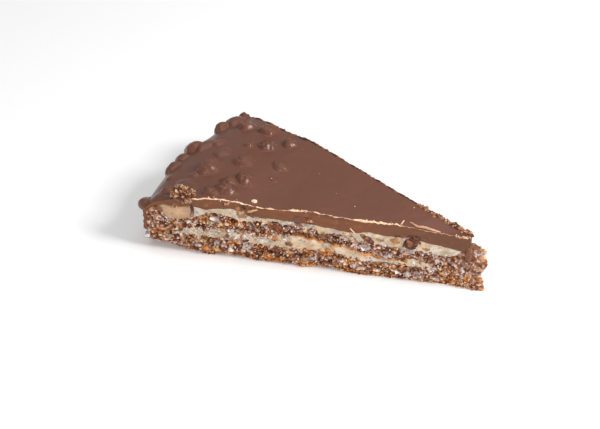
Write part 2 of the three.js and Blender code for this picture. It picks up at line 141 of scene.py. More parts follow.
# Crumbs of the sponge, from the clefts, painted dark as shade, to the high grains.
BARK = (0.370, 0.200, 0.110)
BROWN = (0.530, 0.350, 0.240)
TAN = (0.715, 0.555, 0.445)
CRUMB_PALE = (0.900, 0.810, 0.740)
# Single bits and hollows; DARK, BARK and CHARCOAL on sunk hollows are painted shade.
DARK = (0.240, 0.110, 0.055)
CHARCOAL = (0.300, 0.250, 0.240)
RUST = (0.500, 0.270, 0.170)
CARAMEL = (0.660, 0.430, 0.240)
TOASTED = (0.760, 0.480, 0.260)
GOLD = (0.820, 0.660, 0.430)
PINK = (0.860, 0.640, 0.540)
LILAC = (0.700, 0.640, 0.630)
CHALK = (0.900, 0.860, 0.830)

# Single crumbs, stains and hollows on the front cut; the sunk DARK, BARK and CHARCOAL marks paint the shade
# in hollows and gaps:
# along, up, half its length, half its height, how far it stands out, colour.
FRONT_MARKS = [
    (118.6, 5.6, 1.2, 1.5, 0.6, CHALK), (118.0, 8.1, 1.3, 1.2, 0.2, LILAC),
    (115.6, 14.3, 1.6, 0.8, 0.2, PINK), (116.5, 7.5, 1.2, 0.8, 0.1, TOASTED),
    (113.2, 9.6, 2.0, 0.6, 0.1, TOASTED), (113.3, 4.9, 1.0, 0.8, 0.2, OLIVE),
    (111.4, 4.8, 1.0, 0.8, 0.4, PINK), (110.5, 6.4, 1.5, 1.0, 0.3, OLIVE),
    (110.3, 7.9, 1.5, 0.5, -0.5, DARK), (110.7, 13.4, 0.6, 1.2, 0.0, MILKY),
    (109.4, 12.8, 0.9, 0.6, -0.6, DARK), (107.3, 10.8, 0.8, 0.9, 0.0, MILKY),
    (106.3, 11.1, 0.8, 1.2, 0.0, CARAMEL), (104.9, 10.3, 0.8, 0.6, 0.2, RUST),
    (104.6, 14.1, 1.2, 0.4, -0.6, DARK), (103.0, 14.0, 1.6, 0.8, 0.0, MILKY),
    (101.0, 13.2, 0.7, 1.0, 0.4, CHALK), (103.7, 12.4, 0.8, 0.4, -0.4, DARK),
    (107.5, 13.2, 1.0, 0.7, 0.2, IVORY), (112.6, 11.6, 1.2, 0.5, -0.4, BARK),
    (99.3, 18.0, 0.7, 1.5, 0.2, LILAC), (97.6, 16.6, 0.9, 1.3, 0.0, CARAMEL),
    (98.5, 17.3, 0.5, 0.7, 0.2, IVORY), (94.9, 18.3, 1.5, 0.5, 0.1, RUST),
    (93.7, 16.9, 1.0, 0.9, 0.4, CHALK), (91.8, 16.8, 1.2, 1.0, 0.4, LILAC),
    (90.4, 18.2, 1.9, 0.6, -0.4, BARK), (94.2, 14.7, 1.8, 1.0, 0.3, OLIVE),
    (90.4, 14.6, 1.2, 0.9, 0.2, GOLD), (88.3, 15.2, 1.0, 0.9, 0.2, PEACH),
    (86.6, 17.0, 2.8, 1.1, -0.5, RUST), (85.6, 16.4, 1.2, 0.4, -0.7, DARK),
    (86.4, 14.4, 1.5, 0.7, -0.2, RUST), (98.8, 13.0, 1.6, 0.5, -0.5, DARK),
    (95.6, 12.6, 1.8, 0.4, -0.3, RUST), (86.9, 12.3, 1.7, 1.4, 0.9, CHALK),
    (89.3, 10.0, 0.8, 1.5, 0.1, OLIVE), (88.2, 9.9, 0.9, 0.6, 0.2, RUST), (87.8, 8.5, 1.5, 0.7, 0.3, LILAC),
    (86.0, 9.3, 0.9, 1.1, 0.1, GOLD), (83.0, 9.8, 0.6, 1.5, -0.2, CARAMEL),
    (81.3, 9.6, 0.5, 2.4, 0.3, CHALK), (83.8, 12.6, 1.3, 0.9, 0.2, OLIVE),
    (84.6, 7.6, 1.2, 0.9, 0.0, TOASTED), (81.0, 5.0, 1.8, 2.2, 0.0, MILKY),
    (96.4, 2.8, 2.2, 2.3, 0.6, TOASTED), (94.2, 5.6, 1.2, 1.5, -0.6, CHARCOAL),
    (92.0, 6.1, 1.3, 0.8, 0.1, LILAC), (99.5, 4.0, 1.2, 1.1, 0.4, LILAC), (87.0, 3.4, 1.1, 1.6, 0.4, CHALK),
    (92.2, 3.2, 1.1, 1.0, 0.1, GOLD), (97.8, 6.2, 1.5, 1.1, 0.3, PEACH),
    (101.8, 6.2, 0.8, 0.9, 0.0, CARAMEL), (101.6, 7.6, 0.7, 0.7, -0.5, DARK),
    (105.0, 6.6, 1.4, 0.9, 0.1, TAN), (84.4, 3.0, 1.2, 0.8, 0.2, TAN), (89.6, 3.4, 1.0, 1.3, -0.3, BROWN),
    (104.0, 3.0, 1.7, 0.9, 0.2, TAN), (108.4, 5.0, 0.9, 0.8, -0.3, RUST), (107.2, 8.4, 1.5, 0.5, 0.0, MILKY),
    (99.5, 10.3, 1.2, 1.2, 0.0, MILKY), (103.3, 9.9, 1.8, 1.1, 0.0, MILKY),
    (93.3, 10.2, 2.0, 1.0, 0.0, MILKY), (95.9, 10.3, 0.7, 0.9, 0.0, OLIVE),
    (97.6, 9.4, 0.5, 0.9, 0.0, PEACH), (84.0, 21.8, 0.9, 2.2, 0.0, CARAMEL),
    # The sunk BARK marks by the toffee shard paint the shade of its cavity and the shadow above it.
    (82.2, 24.0, 0.9, 1.4, -1.3, BARK), (79.6, 24.6, 1.4, 0.4, -0.8, BARK),
    (82.0, 19.6, 1.8, 0.9, -0.2, CARAMEL), (81.7, 21.5, 0.9, 1.0, 0.5, PINK),
    (79.0, 21.3, 1.4, 0.4, -0.6, BARK), (88.2, 24.5, 0.4, 0.8, 0.6, PINK), (87.1, 24.5, 0.4, 0.8, 0.6, PINK),
    (89.1, 24.1, 0.5, 0.6, -0.4, DARK), (77.2, 19.4, 1.2, 0.9, 0.0, MILKY),
    (78.4, 15.8, 0.9, 0.9, -0.2, CHARCOAL), (76.6, 17.2, 1.2, 0.9, -0.8, DARK),
    (75.0, 17.0, 0.8, 1.0, 0.3, LILAC), (73.6, 16.0, 0.8, 0.8, 0.3, LILAC),
    (76.4, 14.2, 1.0, 0.5, 0.2, IVORY), (71.4, 17.6, 0.5, 1.1, 0.0, TOASTED),
    (69.4, 16.6, 2.1, 1.5, 0.5, RUST), (70.2, 18.5, 1.9, 0.35, -0.7, DARK),
    (66.1, 17.5, 1.8, 0.3, -0.8, DARK), (65.2, 19.3, 1.4, 0.9, 0.0, MILKY),
    (66.9, 20.3, 0.6, 0.6, 0.2, RUST), (66.4, 14.2, 1.5, 0.45, -0.6, CHARCOAL),
    (70.2, 13.4, 1.6, 0.6, 0.2, LILAC), (73.4, 12.2, 1.3, 0.5, -0.3, CARAMEL),
    (64.2, 17.0, 0.6, 0.6, -0.4, BARK), (62.3, 16.7, 0.6, 0.5, -0.6, DARK),
    (61.2, 18.8, 1.2, 1.2, 0.1, BROWN), (61.4, 21.2, 1.5, 1.7, 0.4, CHOCOLATE_SKIN),
    (58.6, 17.0, 1.3, 0.8, 0.1, GOLD), (55.5, 16.6, 0.5, 0.6, 0.5, CHALK),
    (57.2, 19.2, 2.0, 0.7, 0.0, LILAC), (56.2, 21.3, 0.6, 0.7, 0.5, PINK),
    (56.6, 20.3, 0.7, 0.3, -0.5, DARK), (51.4, 15.4, 2.9, 1.1, 0.3, BROWN),
    (51.0, 16.5, 2.2, 0.35, -0.8, DARK), (47.2, 15.4, 1.3, 0.8, -0.5, DARK),
    (45.8, 15.6, 0.7, 0.7, 0.2, GOLD), (44.2, 15.3, 0.9, 1.1, 0.5, CHALK),
    (43.2, 17.6, 1.6, 0.8, 0.0, PEACH), (41.6, 15.6, 1.2, 1.4, 0.1, PEACH),
    (70.2, 11.2, 1.3, 1.1, 0.6, TOASTED), (70.2, 10.5, 1.0, 0.35, -0.3, RUST),
    (65.0, 9.9, 1.4, 1.2, 0.6, RUST), (65.2, 9.1, 0.8, 0.4, -0.4, DARK),
    (76.4, 10.0, 0.4, 0.5, -0.3, CARAMEL), (66.0, 12.3, 1.6, 1.0, 0.0, MILKY),
    (50.5, 11.5, 1.9, 1.0, 0.0, MILKY), (59.6, 12.0, 1.0, 0.9, 0.0, MILKY),
    (45.6, 12.0, 0.4, 1.0, -0.3, RUST), (48.9, 11.4, 0.8, 0.6, 0.1, TOASTED),
    (50.6, 8.2, 3.2, 2.0, 0.2, TOASTED), (52.4, 9.6, 0.6, 1.0, 0.1, PEACH), (48.4, 9.8, 0.8, 0.8, 0.1, PINK),
    (43.6, 6.7, 1.2, 0.45, -0.4, BARK), (73.6, 7.2, 1.5, 0.6, 0.1, TOASTED),
    (70.4, 6.7, 1.4, 0.5, 0.1, RUST), (75.3, 7.4, 0.5, 0.5, -0.4, BARK), (59.0, 3.3, 2.3, 1.6, 0.9, TAN),
    (61.3, 5.4, 2.0, 0.5, -0.6, DARK), (57.2, 6.9, 1.2, 0.7, 0.1, TOASTED),
    (55.8, 4.5, 1.5, 1.3, 0.4, LILAC), (54.9, 5.5, 0.5, 0.6, 0.5, CHALK), (51.4, 3.7, 2.9, 0.8, -0.8, DARK),
    (50.6, 2.6, 2.4, 0.7, 0.0, RUST), (47.0, 2.2, 0.7, 0.8, 0.2, GOLD),
    (45.2, 4.6, 1.4, 1.2, 0.3, CRUMB_PALE), (41.3, 3.4, 1.6, 1.1, 0.4, CHALK),
    (42.6, 3.0, 0.5, 1.5, -0.5, DARK), (68.4, 4.9, 1.3, 0.8, -0.3, CHARCOAL),
    (71.9, 5.0, 1.2, 0.6, -0.6, DARK), (75.3, 4.2, 1.2, 0.8, -0.4, CHARCOAL),
    (77.6, 5.1, 1.0, 0.5, -0.4, CHARCOAL), (72.7, 2.6, 1.7, 2.0, 0.3, TOASTED),
    (66.4, 3.8, 1.2, 0.6, -0.5, DARK), (77.6, 1.9, 1.2, 0.9, 0.2, TOASTED),
    (69.4, 1.6, 1.2, 0.8, 0.2, CARAMEL), (79.4, 7.0, 0.8, 1.2, 0.0, MILKY),
    (65.2, 2.0, 1.4, 0.8, 0.1, BROWN), (63.4, 2.6, 0.8, 0.7, 0.3, TAN), (74.6, 9.6, 2.6, 1.2, 0.0, MILKY),
    (36.2, 13.0, 2.2, 1.6, 0.4, LILAC), (37.4, 12.0, 0.7, 0.6, 0.4, CHALK),
    (38.4, 11.1, 1.2, 0.6, -0.5, DARK), (33.7, 13.0, 1.0, 1.3, -0.3, RUST),
    (31.4, 13.4, 0.8, 0.9, 0.2, PINK), (31.4, 16.8, 1.4, 0.7, 0.1, CARAMEL),
    (29.6, 12.6, 0.8, 0.6, -0.5, CHARCOAL), (28.3, 10.4, 1.6, 1.4, 0.4, LILAC),
    (29.2, 9.1, 0.6, 0.5, -0.6, DARK), (28.8, 13.4, 0.9, 0.7, -0.3, BARK), (26.4, 13.6, 1.2, 0.9, 0.2, RUST),
    (25.0, 11.0, 1.0, 0.7, -0.5, DARK), (25.7, 17.1, 1.6, 1.2, 0.4, CARAMEL),
    (25.4, 18.6, 0.8, 0.6, 0.1, TOASTED), (25.2, 19.6, 1.3, 0.4, -0.6, BARK),
    (22.8, 13.1, 0.5, 0.6, 0.6, CHALK), (20.2, 13.2, 2.2, 0.9, 0.1, LILAC),
    (18.0, 12.2, 0.4, 0.4, -0.5, DARK), (21.6, 10.6, 0.8, 0.7, 0.2, RUST),
    (18.0, 10.6, 1.3, 0.6, -0.2, RUST), (21.8, 8.8, 0.8, 0.8, 0.2, CARAMEL),
    (16.6, 9.0, 0.8, 0.6, 0.1, CARAMEL), (14.6, 15.2, 1.5, 0.6, 0.2, CARAMEL),
    (13.2, 9.8, 1.6, 0.5, -0.4, RUST), (10.6, 8.2, 1.4, 0.4, -0.5, DARK), (28.5, 7.3, 1.4, 0.7, 0.0, MILKY),
    (25.0, 7.3, 1.3, 0.7, 0.0, MILKY), (18.7, 8.5, 1.0, 0.9, 0.0, MILKY), (13.8, 7.1, 0.5, 0.5, -0.3, BARK),
    (34.9, 8.0, 0.4, 0.35, -0.4, DARK), (31.8, 6.0, 1.2, 0.8, 0.2, CARAMEL),
    (25.8, 5.3, 1.2, 1.0, 0.2, TOASTED), (21.6, 5.4, 2.2, 0.7, 0.1, CARAMEL),
    (18.7, 6.4, 1.0, 0.7, 0.2, RUST), (19.0, 5.3, 1.0, 0.4, -0.5, DARK), (34.5, 5.0, 0.9, 0.5, -0.6, DARK),
    (34.4, 3.4, 0.9, 0.7, 0.2, RUST), (37.6, 3.0, 2.2, 1.1, 0.3, LILAC), (31.6, 3.4, 0.7, 0.7, 0.4, CHALK),
    (29.0, 4.0, 0.9, 0.6, -0.5, DARK), (24.6, 3.2, 1.0, 0.7, 0.5, CHALK), (26.6, 2.4, 0.9, 0.6, -0.5, DARK),
    (21.0, 2.8, 1.3, 1.2, 0.6, CHALK), (17.4, 3.8, 1.5, 0.8, 0.4, LILAC), (22.4, 1.6, 0.8, 0.6, -0.5, DARK),
    (10.7, 1.8, 1.3, 0.9, 0.0, MILKY), (8.6, 5.4, 1.2, 0.4, -0.5, RUST), (8.2, 4.6, 1.2, 0.7, 0.2, GOLD),
    (5.9, 4.4, 0.4, 1.0, -0.5, DARK), (1.2, 4.2, 0.9, 1.8, 0.5, LILAC), (0.8, 8.2, 0.8, 1.5, 0.5, CHALK),
    (5.3, 10.5, 1.2, 0.7, 0.3, LILAC), (9.9, 10.5, 0.9, 1.1, 0.4, LILAC), (8.6, 14.0, 0.4, 1.0, 0.2, PINK),
    (7.2, 13.7, 0.9, 1.4, 0.0, MILKY), (3.0, 13.5, 0.7, 0.5, -0.5, DARK), (9.0, 9.3, 0.8, 0.5, -0.6, DARK),
    (5.6, 9.3, 1.2, 0.4, -0.5, DARK), (12.0, 11.8, 1.4, 0.5, -0.3, RUST), (10.0, 6.9, 2.4, 0.7, 0.0, MILKY),
    (36.6, 0.8, 2.4, 0.8, 0.3, TOASTED), (28.4, 0.9, 1.6, 0.7, 0.2, CARAMEL),
    (13.6, 3.0, 1.2, 0.7, -0.4, BARK), (15.6, 2.6, 1.0, 0.7, 0.3, LILAC), (4.0, 2.4, 1.4, 1.0, 0.1, CARAMEL),
    # The dark marks above and beside the toffee ball paint the shadow in its hollow.
    (19.3, 20.15, 2.3, 0.5, -0.9, DARK), (16.9, 18.3, 0.4, 2.2, -0.5, DARK),
    (22.5, 15.7, 0.3, 1.3, -0.4, DARK), (23.1, 16.6, 0.6, 2.2, 0.4, PEACH),
    (21.6, 18.9, 1.2, 0.5, 0.3, IVORY), (114.2, 18.2, 1.6, 1.3, 0.0, BROWN),
    (108.6, 21.0, 5.4, 0.5, 0.1, CHOCOLATE_CUT), (107.3, 20.9, 1.5, 0.8, 0.6, BROWN),
    (106.6, 20.6, 0.5, 0.4, 0.7, GOLD), (108.2, 21.0, 0.4, 0.4, 0.7, GOLD),
]

# Stains and crumbs on the blunt nose of the filling: x, y, z from the tip, radius, out, colour.
NOSE_SPOTS = [
    (5.0, 4.4, 12.4, 2.4, 0.3, OLIVE), (5.2, 4.8, 14.4, 1.3, 0.4, OLIVE), (5.6, 3.2, 11.2, 1.2, 0.3, OLIVE),
    (5.4, 2.0, 14.8, 1.2, 0.2, TAN), (5.0, 0.6, 9.2, 1.2, 0.2, TAN), (4.2, 0.2, 12.4, 1.0, -0.4, RUST),
    (5.6, 2.4, 7.4, 1.0, -0.4, BROWN), (5.4, 1.2, 4.6, 1.4, 0.4, CARAMEL), (5.6, 3.4, 3.0, 1.2, 0.2, TAN),
    (4.6, 5.0, 6.4, 1.3, 0.2, LILAC), (5.2, 2.2, 9.4, 1.1, 0.3, PEACH), (0.4, -0.7, 16.4, 1.9, 0.5, SMEARED),
    (1.6, -0.6, 14.6, 1.8, 0.6, SMEARED), (2.9, 0.0, 13.4, 1.4, 0.5, SMEARED),
]


def linear(colour):
    """Display colour to light: ((c + 0.055) / 1.055) to the power 2.4, or c / 12.92 when dark."""
    c = np.asarray(colour, float)
    return np.where(c <= 0.04045, c / 12.92, ((np.maximum(c, 0) + 0.055) / 1.055) ** 2.4)


# ------------------------------------------------------------------ noise
def smooth(x, start, end):
    """0 before start, 1 after end and 3t^2 - 2t^3 between them."""
    t = np.clip((np.asarray(x, float) - start) / (end - start), 0, 1)
    return t * t * (3 - 2 * t)


def between(x, start, full, fade, end):
    """0, rising to 1 from start to full and falling back to 0 from fade to end."""
    return smooth(x, start, full) * (1 - smooth(x, fade, end))


def cell_random(cells, seed):
    """A repeatable number from 0 to 1 for each whole-number cell, by mixing its bits."""
    c = cells.astype(np.int64).astype(np.uint32)
    n = c[..., 0] * np.uint32(374761393) + c[..., 1] * np.uint32(668265263)
    n = n + c[..., 2] * np.uint32(2246822519) + np.uint32(seed * 97531 + 1013)
    n = (n ^ (n >> np.uint32(13))) * np.uint32(1274126177)
    n = (n ^ (n >> np.uint32(16))) * np.uint32(2654435761)
    return (n ^ (n >> np.uint32(15))).astype(float) / 4294967295.0


def noise(points, size, seed):
    """Smooth noise from -1 to 1: random corner values of a lattice, blended with 3t^2 - 2t^3."""
    p = np.asarray(points, float) / size
    base = np.floor(p)
    t = p - base
    t = t * t * (3 - 2 * t)
    total = np.zeros(p.shape[:-1])
    for corner in np.ndindex(2, 2, 2):
        weight = np.ones(p.shape[:-1])
        for axis, side in enumerate(corner):
            weight = weight * (t[..., axis] if side else 1 - t[..., axis])
        total += weight * cell_random(base + np.array(corner), seed)
    return total * 2 - 1


def cloudy(points, size, seed, octaves=3):
    """Sum of soft noises, each of half the size and half the height of the one before."""
    total = np.zeros(np.shape(points)[:-1])
    for level in range(octaves):
        total += noise(points, size / 2 ** level, seed + level) * 0.5 ** level
    return total / 1.6


def shift_noise(points, size, seed):
    """Three soft noises as a small move in space."""
    return np.stack([noise(points, size, seed + k) for k in range(3)], -1)


def grains(points, size, seed, gap=0.25):
    """Packed grains round random middles, one in each cell of a lattice.

    Returns the distance to the nearest middle in grain sizes, that grain's random number, and the
    share of the cleft: 1 where two middles are equally near, 0 where their distances differ by gap.
    """
    p = np.asarray(points, float) / size
    base = np.floor(p)
    near = np.full(p.shape[:-1], 9.0)
    second = np.full(p.shape[:-1], 9.0)
    number = np.zeros(p.shape[:-1])
    for step in np.ndindex(3, 3, 3):
        cell = base + np.array(step) - 1
        spot = cell + np.stack([cell_random(cell, seed + k) for k in range(3)], -1)
        distance = np.sqrt(((p - spot) ** 2).sum(-1))
        closer = distance < near
        second = np.where(closer, near, np.minimum(second, distance))
        near = np.where(closer, distance, near)
        number = np.where(closer, cell_random(cell, seed + 7), number)
    return near, number, 1 - smooth(second - near, 0, gap)


# ------------------------------------------------------------------ the wedge
def height_along(heights, along):
    """Smooth curve through the heights at the stations: a line plus the bend of its neighbours."""
    h = np.asarray(heights, float)
    place = np.clip(np.asarray(along, float) / STATION_STEP, 0, len(h) - 1)
    left = np.minimum(np.floor(place).astype(int), len(h) - 2)
    share = place - left
    before, start, end = h[np.maximum(left - 1, 0)], h[left], h[left + 1]
    after = h[np.minimum(left + 2, len(h) - 1)]
    bend = (1 - share) * (2 * start - end - before) + share * (2 * end - start - after)
    return start + (end - start) * share + share * (1 - share) / 2 * bend


def half_width(along, nose):
    """Straight cuts, along * sin(half angle), joined to the blunt nose as a right triangle's long side."""
    straight = np.maximum(along, 0) * np.sin(HALF_ANGLE)
    inner = np.clip(0.92 * (NOSE_START - along) / (nose["reach"] + NOSE_START), 0, 0.97)
    fading = 1 - smooth(along, NOSE_START, NOSE_LENGTH)
    swell = np.where(along > NOSE_START, fading, np.sqrt(1 - inner ** 2))
    return np.hypot(straight, nose["half_width"] * swell)


def plan_point(along, across, nose):
    """Seen from above: arcs round the tip, widths from half_width(), and a nose bulged by 1 - across^2."""
    turn = across * HALF_ANGLE
    side = half_width(along, nose) * np.sin(turn) / np.sin(HALF_ANGLE)
    drift = nose["offset"] * (1 - smooth(along, 0, NOSE_LENGTH))
    bulge = NOSE_BULGE * (1 - across ** 2) * (1 - smooth(along, -nose["reach"], 0))
    x = np.where(along > 0, -along * np.cos(turn), -along)
    return x + bulge, side + drift


def back_wave(along, across, size, length, start):
    """A sine wave along the slice that grows from nothing at the front cut to size at the back."""
    return size * (across + 1) / 2 * np.sin(2 * np.pi * along / length + start)


def sag(along, across):
    """How far the top has sunk at the back: a parabola along the slice, steeper than straight across."""
    near = np.maximum(0, 1 - ((along - BACK_SAG["at"]) / BACK_SAG["half"]) ** 2)
    return BACK_SAG["fall"] * near * ((1 + across) / 2) ** 4


def cream_share(along, span):
    """1 along a cream, falling to 0 just past its ends."""
    reach = CREAM_TAPER * 0.4
    rise = smooth(along, span[0] - reach, span[0] + CREAM_TAPER)
    return rise * (1 - smooth(along, span[1] - CREAM_TAPER, span[1] + reach))


def ripple(along, across, seed):
    """Small unevenness of a boundary between layers, in millimetres."""
    spot = np.stack(np.broadcast_arrays(along, across * 30.0, 0.0), -1)
    return 0.4 * noise(spot, 2.9, seed) + 0.3 * noise(spot, 1.1, seed + 1)


def coat_underside(along, across):
    """The boundary curve, but never closer to the shoulder than the coat's thickness."""
    height = height_along(COAT_UNDERSIDE, along) + back_wave(along, across, 0.7, 43, 1)
    share = np.clip((along - (RADIUS - SHOULDER_RUN)) / (SHOULDER_RUN - COAT_WALL + 0.6), 0, 1)
    shoulder = TOP - 1.7 - (SHOULDER_DROP - 1.2) * (1 - np.sqrt(1 - share ** 2))
    return np.minimum(height, shoulder) - sag(along, across) + 0.5 * ripple(along, across, 3)


def lower_nut_top(along, across):
    """The lower nut layer's top: the curve of the front cut plus a wave towards the back and a ripple."""
    wave = back_wave(along, across, 0.8, 37, 2)
    return height_along(LOWER_NUT_TOP, along) + wave + ripple(along, across, 5)


def upper_nut_bottom(along, across):
    """The lower nut layer's top plus the thickness of the lower cream between them."""
    cream = height_along(LOWER_CREAM_TOP, along) - height_along(LOWER_NUT_TOP, along)
    cream = cream + back_wave(along, across, 0.6, 51, 4) + ripple(along, across, 9)
    return lower_nut_top(along, across) + 0.05 + cream * cream_share(along, LOWER_CREAM_SPAN)


def upper_nut_top(along, across):
    """The coat's underside less the thickness of the upper cream, which is at least 0.8 mm."""
    cream = height_along(COAT_UNDERSIDE, along) - height_along(UPPER_NUT_TOP, along)
    cream = np.maximum(cream + back_wave(along, across, 0.5, 61, 3) + ripple(along, across, 13), 0.8)
    return coat_underside(along, across) - 0.05 - cream * cream_share(along, UPPER_CREAM_SPAN)


# ------------------------------------------------------------------ meshes
def add_object(name, data):
    """Puts a new object with the data into the scene."""
    thing = bpy.data.objects.new(name, data)
    bpy.context.collection.objects.link(thing)
    return thing


def mesh_from(name, points, polygons, colours, flat=False):
    """Puts computed points (millimetres from the tip) and lists of polygons into one mesh object.

    polygons is a list of whole-number arrays, each with one polygon of the same size per row.
    """
    mesh = bpy.data.meshes.new(name)
    place = (np.asarray(points, float).reshape(-1, 3) + TIP) * MM
    place[:, 2] = np.maximum(place[:, 2], 0)
    sizes = np.concatenate([np.full(len(rows), rows.shape[1]) for rows in polygons])
    corners = np.concatenate([rows.reshape(-1) for rows in polygons])
    mesh.vertices.add(len(place))
    mesh.vertices.foreach_set("co", place.astype(np.float32).reshape(-1))
    mesh.loops.add(len(corners))
    mesh.loops.foreach_set("vertex_index", corners.astype(np.int32))
    mesh.polygons.add(len(sizes))
    starts = np.concatenate([[0], np.cumsum(sizes)[:-1]])
    mesh.polygons.foreach_set("loop_start", starts.astype(np.int32))
    mesh.polygons.foreach_set("use_smooth", np.full(len(sizes), not flat))
    tint = mesh.color_attributes.new("tint", "FLOAT_COLOR", "POINT")
    colours = np.asarray(colours, float).reshape(-1, 3)
    rgba = np.concatenate([linear(np.clip(colours, 0, 1)), np.ones((len(place), 1))], 1)
    tint.data.foreach_set("color", rgba.astype(np.float32).reshape(-1))
    mesh.update(calc_edges=True)
    mesh.validate()
    return add_object(name, mesh)


def grid_quads(rows, columns, wrap=False):
    """Quads of a grid of points, row by row; wrap joins the last column to the first."""
    i, j = np.meshgrid(np.arange(rows - 1), np.arange(columns - (0 if wrap else 1)), indexing="ij")
    after = (j + 1) % columns
    corners = [i * columns + j, i * columns + after, (i + 1) * columns + after, (i + 1) * columns + j]
    return np.stack(corners, -1).reshape(-1, 4)


def mix(first, second, share):
    """Straight mix of two colours, with a share for each point."""
    share = np.asarray(share)[..., None]
    return np.asarray(first) * (1 - share) + np.asarray(second) * share


def ramp(share, stops):
    """Colour by share through (place, colour) stops, straight between them."""
    places = [place for place, _ in stops]
    return np.stack([np.interp(share, places, [colour[k] for _, colour in stops]) for k in range(3)], -1)


# ------------------------------------------------------------------ the face of the cuts
CRUMB_COARSE = 2.1
CRUMB_FINE = 0.85
CRUMB_STOPS = [(0.0, BARK), (0.3, BROWN), (0.62, TAN), (1.0, CRUMB_PALE)]
GREY_LEAN = np.array([1.00, 1.03, 1.16])
GOLD_LEAN = np.array([1.07, 0.93, 0.68])
CRUMB_SEED = 11


def crumb_relief(points):
    """Crumbly surface: two sizes of packed grains, each grain at its own depth, with clefts between.

    Returns the push outwards and how light each point is (0 in the clefts, 1 on high grains); the clefts are
    darker as painted shade.
    """
    loose = points + 0.25 * shift_noise(points, 1.2, CRUMB_SEED + 50)
    near, number, cleft = grains(loose, CRUMB_COARSE, CRUMB_SEED, 0.2)
    small_near, small_number, small_cleft = grains(loose, CRUMB_FINE, CRUMB_SEED + 20)
    push = 0.9 * (number - 0.45) + 0.3 * (0.5 - near) - 0.4 * cleft
    push = push + 0.36 * (small_number - 0.5) + 0.25 * (0.5 - small_near) - 0.18 * small_cleft
    push = push + 0.1 * noise(points, 0.5, CRUMB_SEED + 40)
    light = 0.455 + 0.34 * (number - 0.5) + 0.9 * (small_number - 0.5) - 0.35 * cleft - 0.25 * small_cleft
    return push, light + 0.14 * noise(points, 0.45, CRUMB_SEED + 44)


def crumb_colours(points, light, gold=0.0):
    """Dark in the clefts as painted shade, pale on the grains; whole patches lean to grey nut or to toasted
    sponge.
    """
    colour = ramp(light, CRUMB_STOPS)
    lean = cloudy(points, 4.2, CRUMB_SEED + 60) + 0.6 * noise(points, 1.1, CRUMB_SEED + 64) - gold
    colour = mix(colour, colour * GREY_LEAN, smooth(lean, -0.1, 0.45))
    return mix(colour, colour * GOLD_LEAN, smooth(-lean, 0.05, 0.6))


def cream_colours(points, along, across, up):
    """Ivory with clouds of grey-white, olive and peach; caramel in its thick part near the rim.

    Each colour is laid over the ones before it, by its own share at each point.
    """
    grey = cloudy(points, 3.4, 201)
    warm = cloudy(points, 2.6, 205)
    middle = between(along, *BRIGHT_PART) * (1 - smooth(up, 13.5, 15.0))
    bright = middle * smooth(noise(points, 2.4, 247), -0.1, 0.5) * smooth(up, 10.6, 12.2)
    thin = between(along, *THIN_CREAM) * smooth(up, 15.0, 16.5)
    stain = smooth(noise(points, 1.3, 251) + 0.4 * noise(points, 0.6, 253), 0.4, 0.9)
    thick = smooth(along + 0.8 * noise(points, 3.0, 235), 101.2, 102.6) * smooth(up, 13.5, 14.5)
    rim = smooth(along + 1.5 * noise(points, 2.0, 236), 111.8, 114.5)
    core = np.exp(-((along - 106.3) / 3.2) ** 2 - ((up - 18.0) / 1.9) ** 2)
    under_coat = smooth(up - coat_underside(along, across) + 0.5 * noise(points, 1.5, 255), -1.2, -0.2)
    colour = IVORY
    for shade, share in [
        (MILKY, smooth(grey, 0.0, 0.4) * 0.9),
        (OLIVE, smooth(-grey, 0.05, 0.4) * 0.9),
        (PEACH, np.maximum(smooth(warm, 0.1, 0.6) * 0.6, middle * 0.45)),
        (BRIGHT_CREAM, bright * 0.6),
        (LILAC, thin * smooth(noise(points, 1.9, 249), -0.3, 0.4) * 0.7),
        (CREAM_STAIN, stain * 0.5),
        (BLOB_EDGE, thick * 0.9),
        (BLOB_CORE, thick * core * 0.8),
        (BLOB_TOP, thick * under_coat * 0.7),
        (BROWN, thick * rim * 0.8),
    ]:
        colour = mix(colour, shade, share)
    near, number, _ = grains(points, 0.8, 243)
    speck = (number > 0.86) * (1 - smooth(near, 0.2, 0.5)) * (1 - thick)
    mottle = 0.09 * warm + 0.06 * noise(points, 0.7, 257)
    return mix(colour * (1 + mottle[..., None]), BROWN, speck * 0.4)


def creaminess(points, along, across, up):
    """1 in the creams and 0 in the crumbs; the border between them wanders by up to a millimetre."""
    in_lower = np.minimum(up - lower_nut_top(along, across), upper_nut_bottom(along, across) - up)
    in_lower = np.where(cream_share(along, LOWER_CREAM_SPAN) > 0.05, in_lower, -2.0)
    in_upper = np.where(cream_share(along, UPPER_CREAM_SPAN) > 0.05, up - upper_nut_top(along, across), -2.0)
    thin = between(along, *THIN_CREAM) * smooth(up, 14.5, 16.0)
    ragged = (1 + 0.7 * thin) * (0.75 * noise(points, 2.1, 80) + 0.5 * noise(points, 0.9, 82))
    return smooth(np.maximum(in_lower, in_upper) + ragged, -0.15, 0.2)


def caramel_line(points, along, across, up):
    """Shares of the golden line on top of the lower cream and of the cleft above it, which is painted dark as
    shade.
    """
    away = up - upper_nut_bottom(along, across) + 0.25 * noise(points, 1.3, 215)
    patchy = 0.85 + 0.15 * noise(points, 1.6, 217)
    gold = between(away, -0.9, -0.35, 0.35, 0.7) * between(along, 20, 30, 60, 64)
    dark = between(away, 0.35, 0.7, 1.4, 1.9) * between(along, 40, 47, 61, 66)
    return gold * patchy, dark * patchy


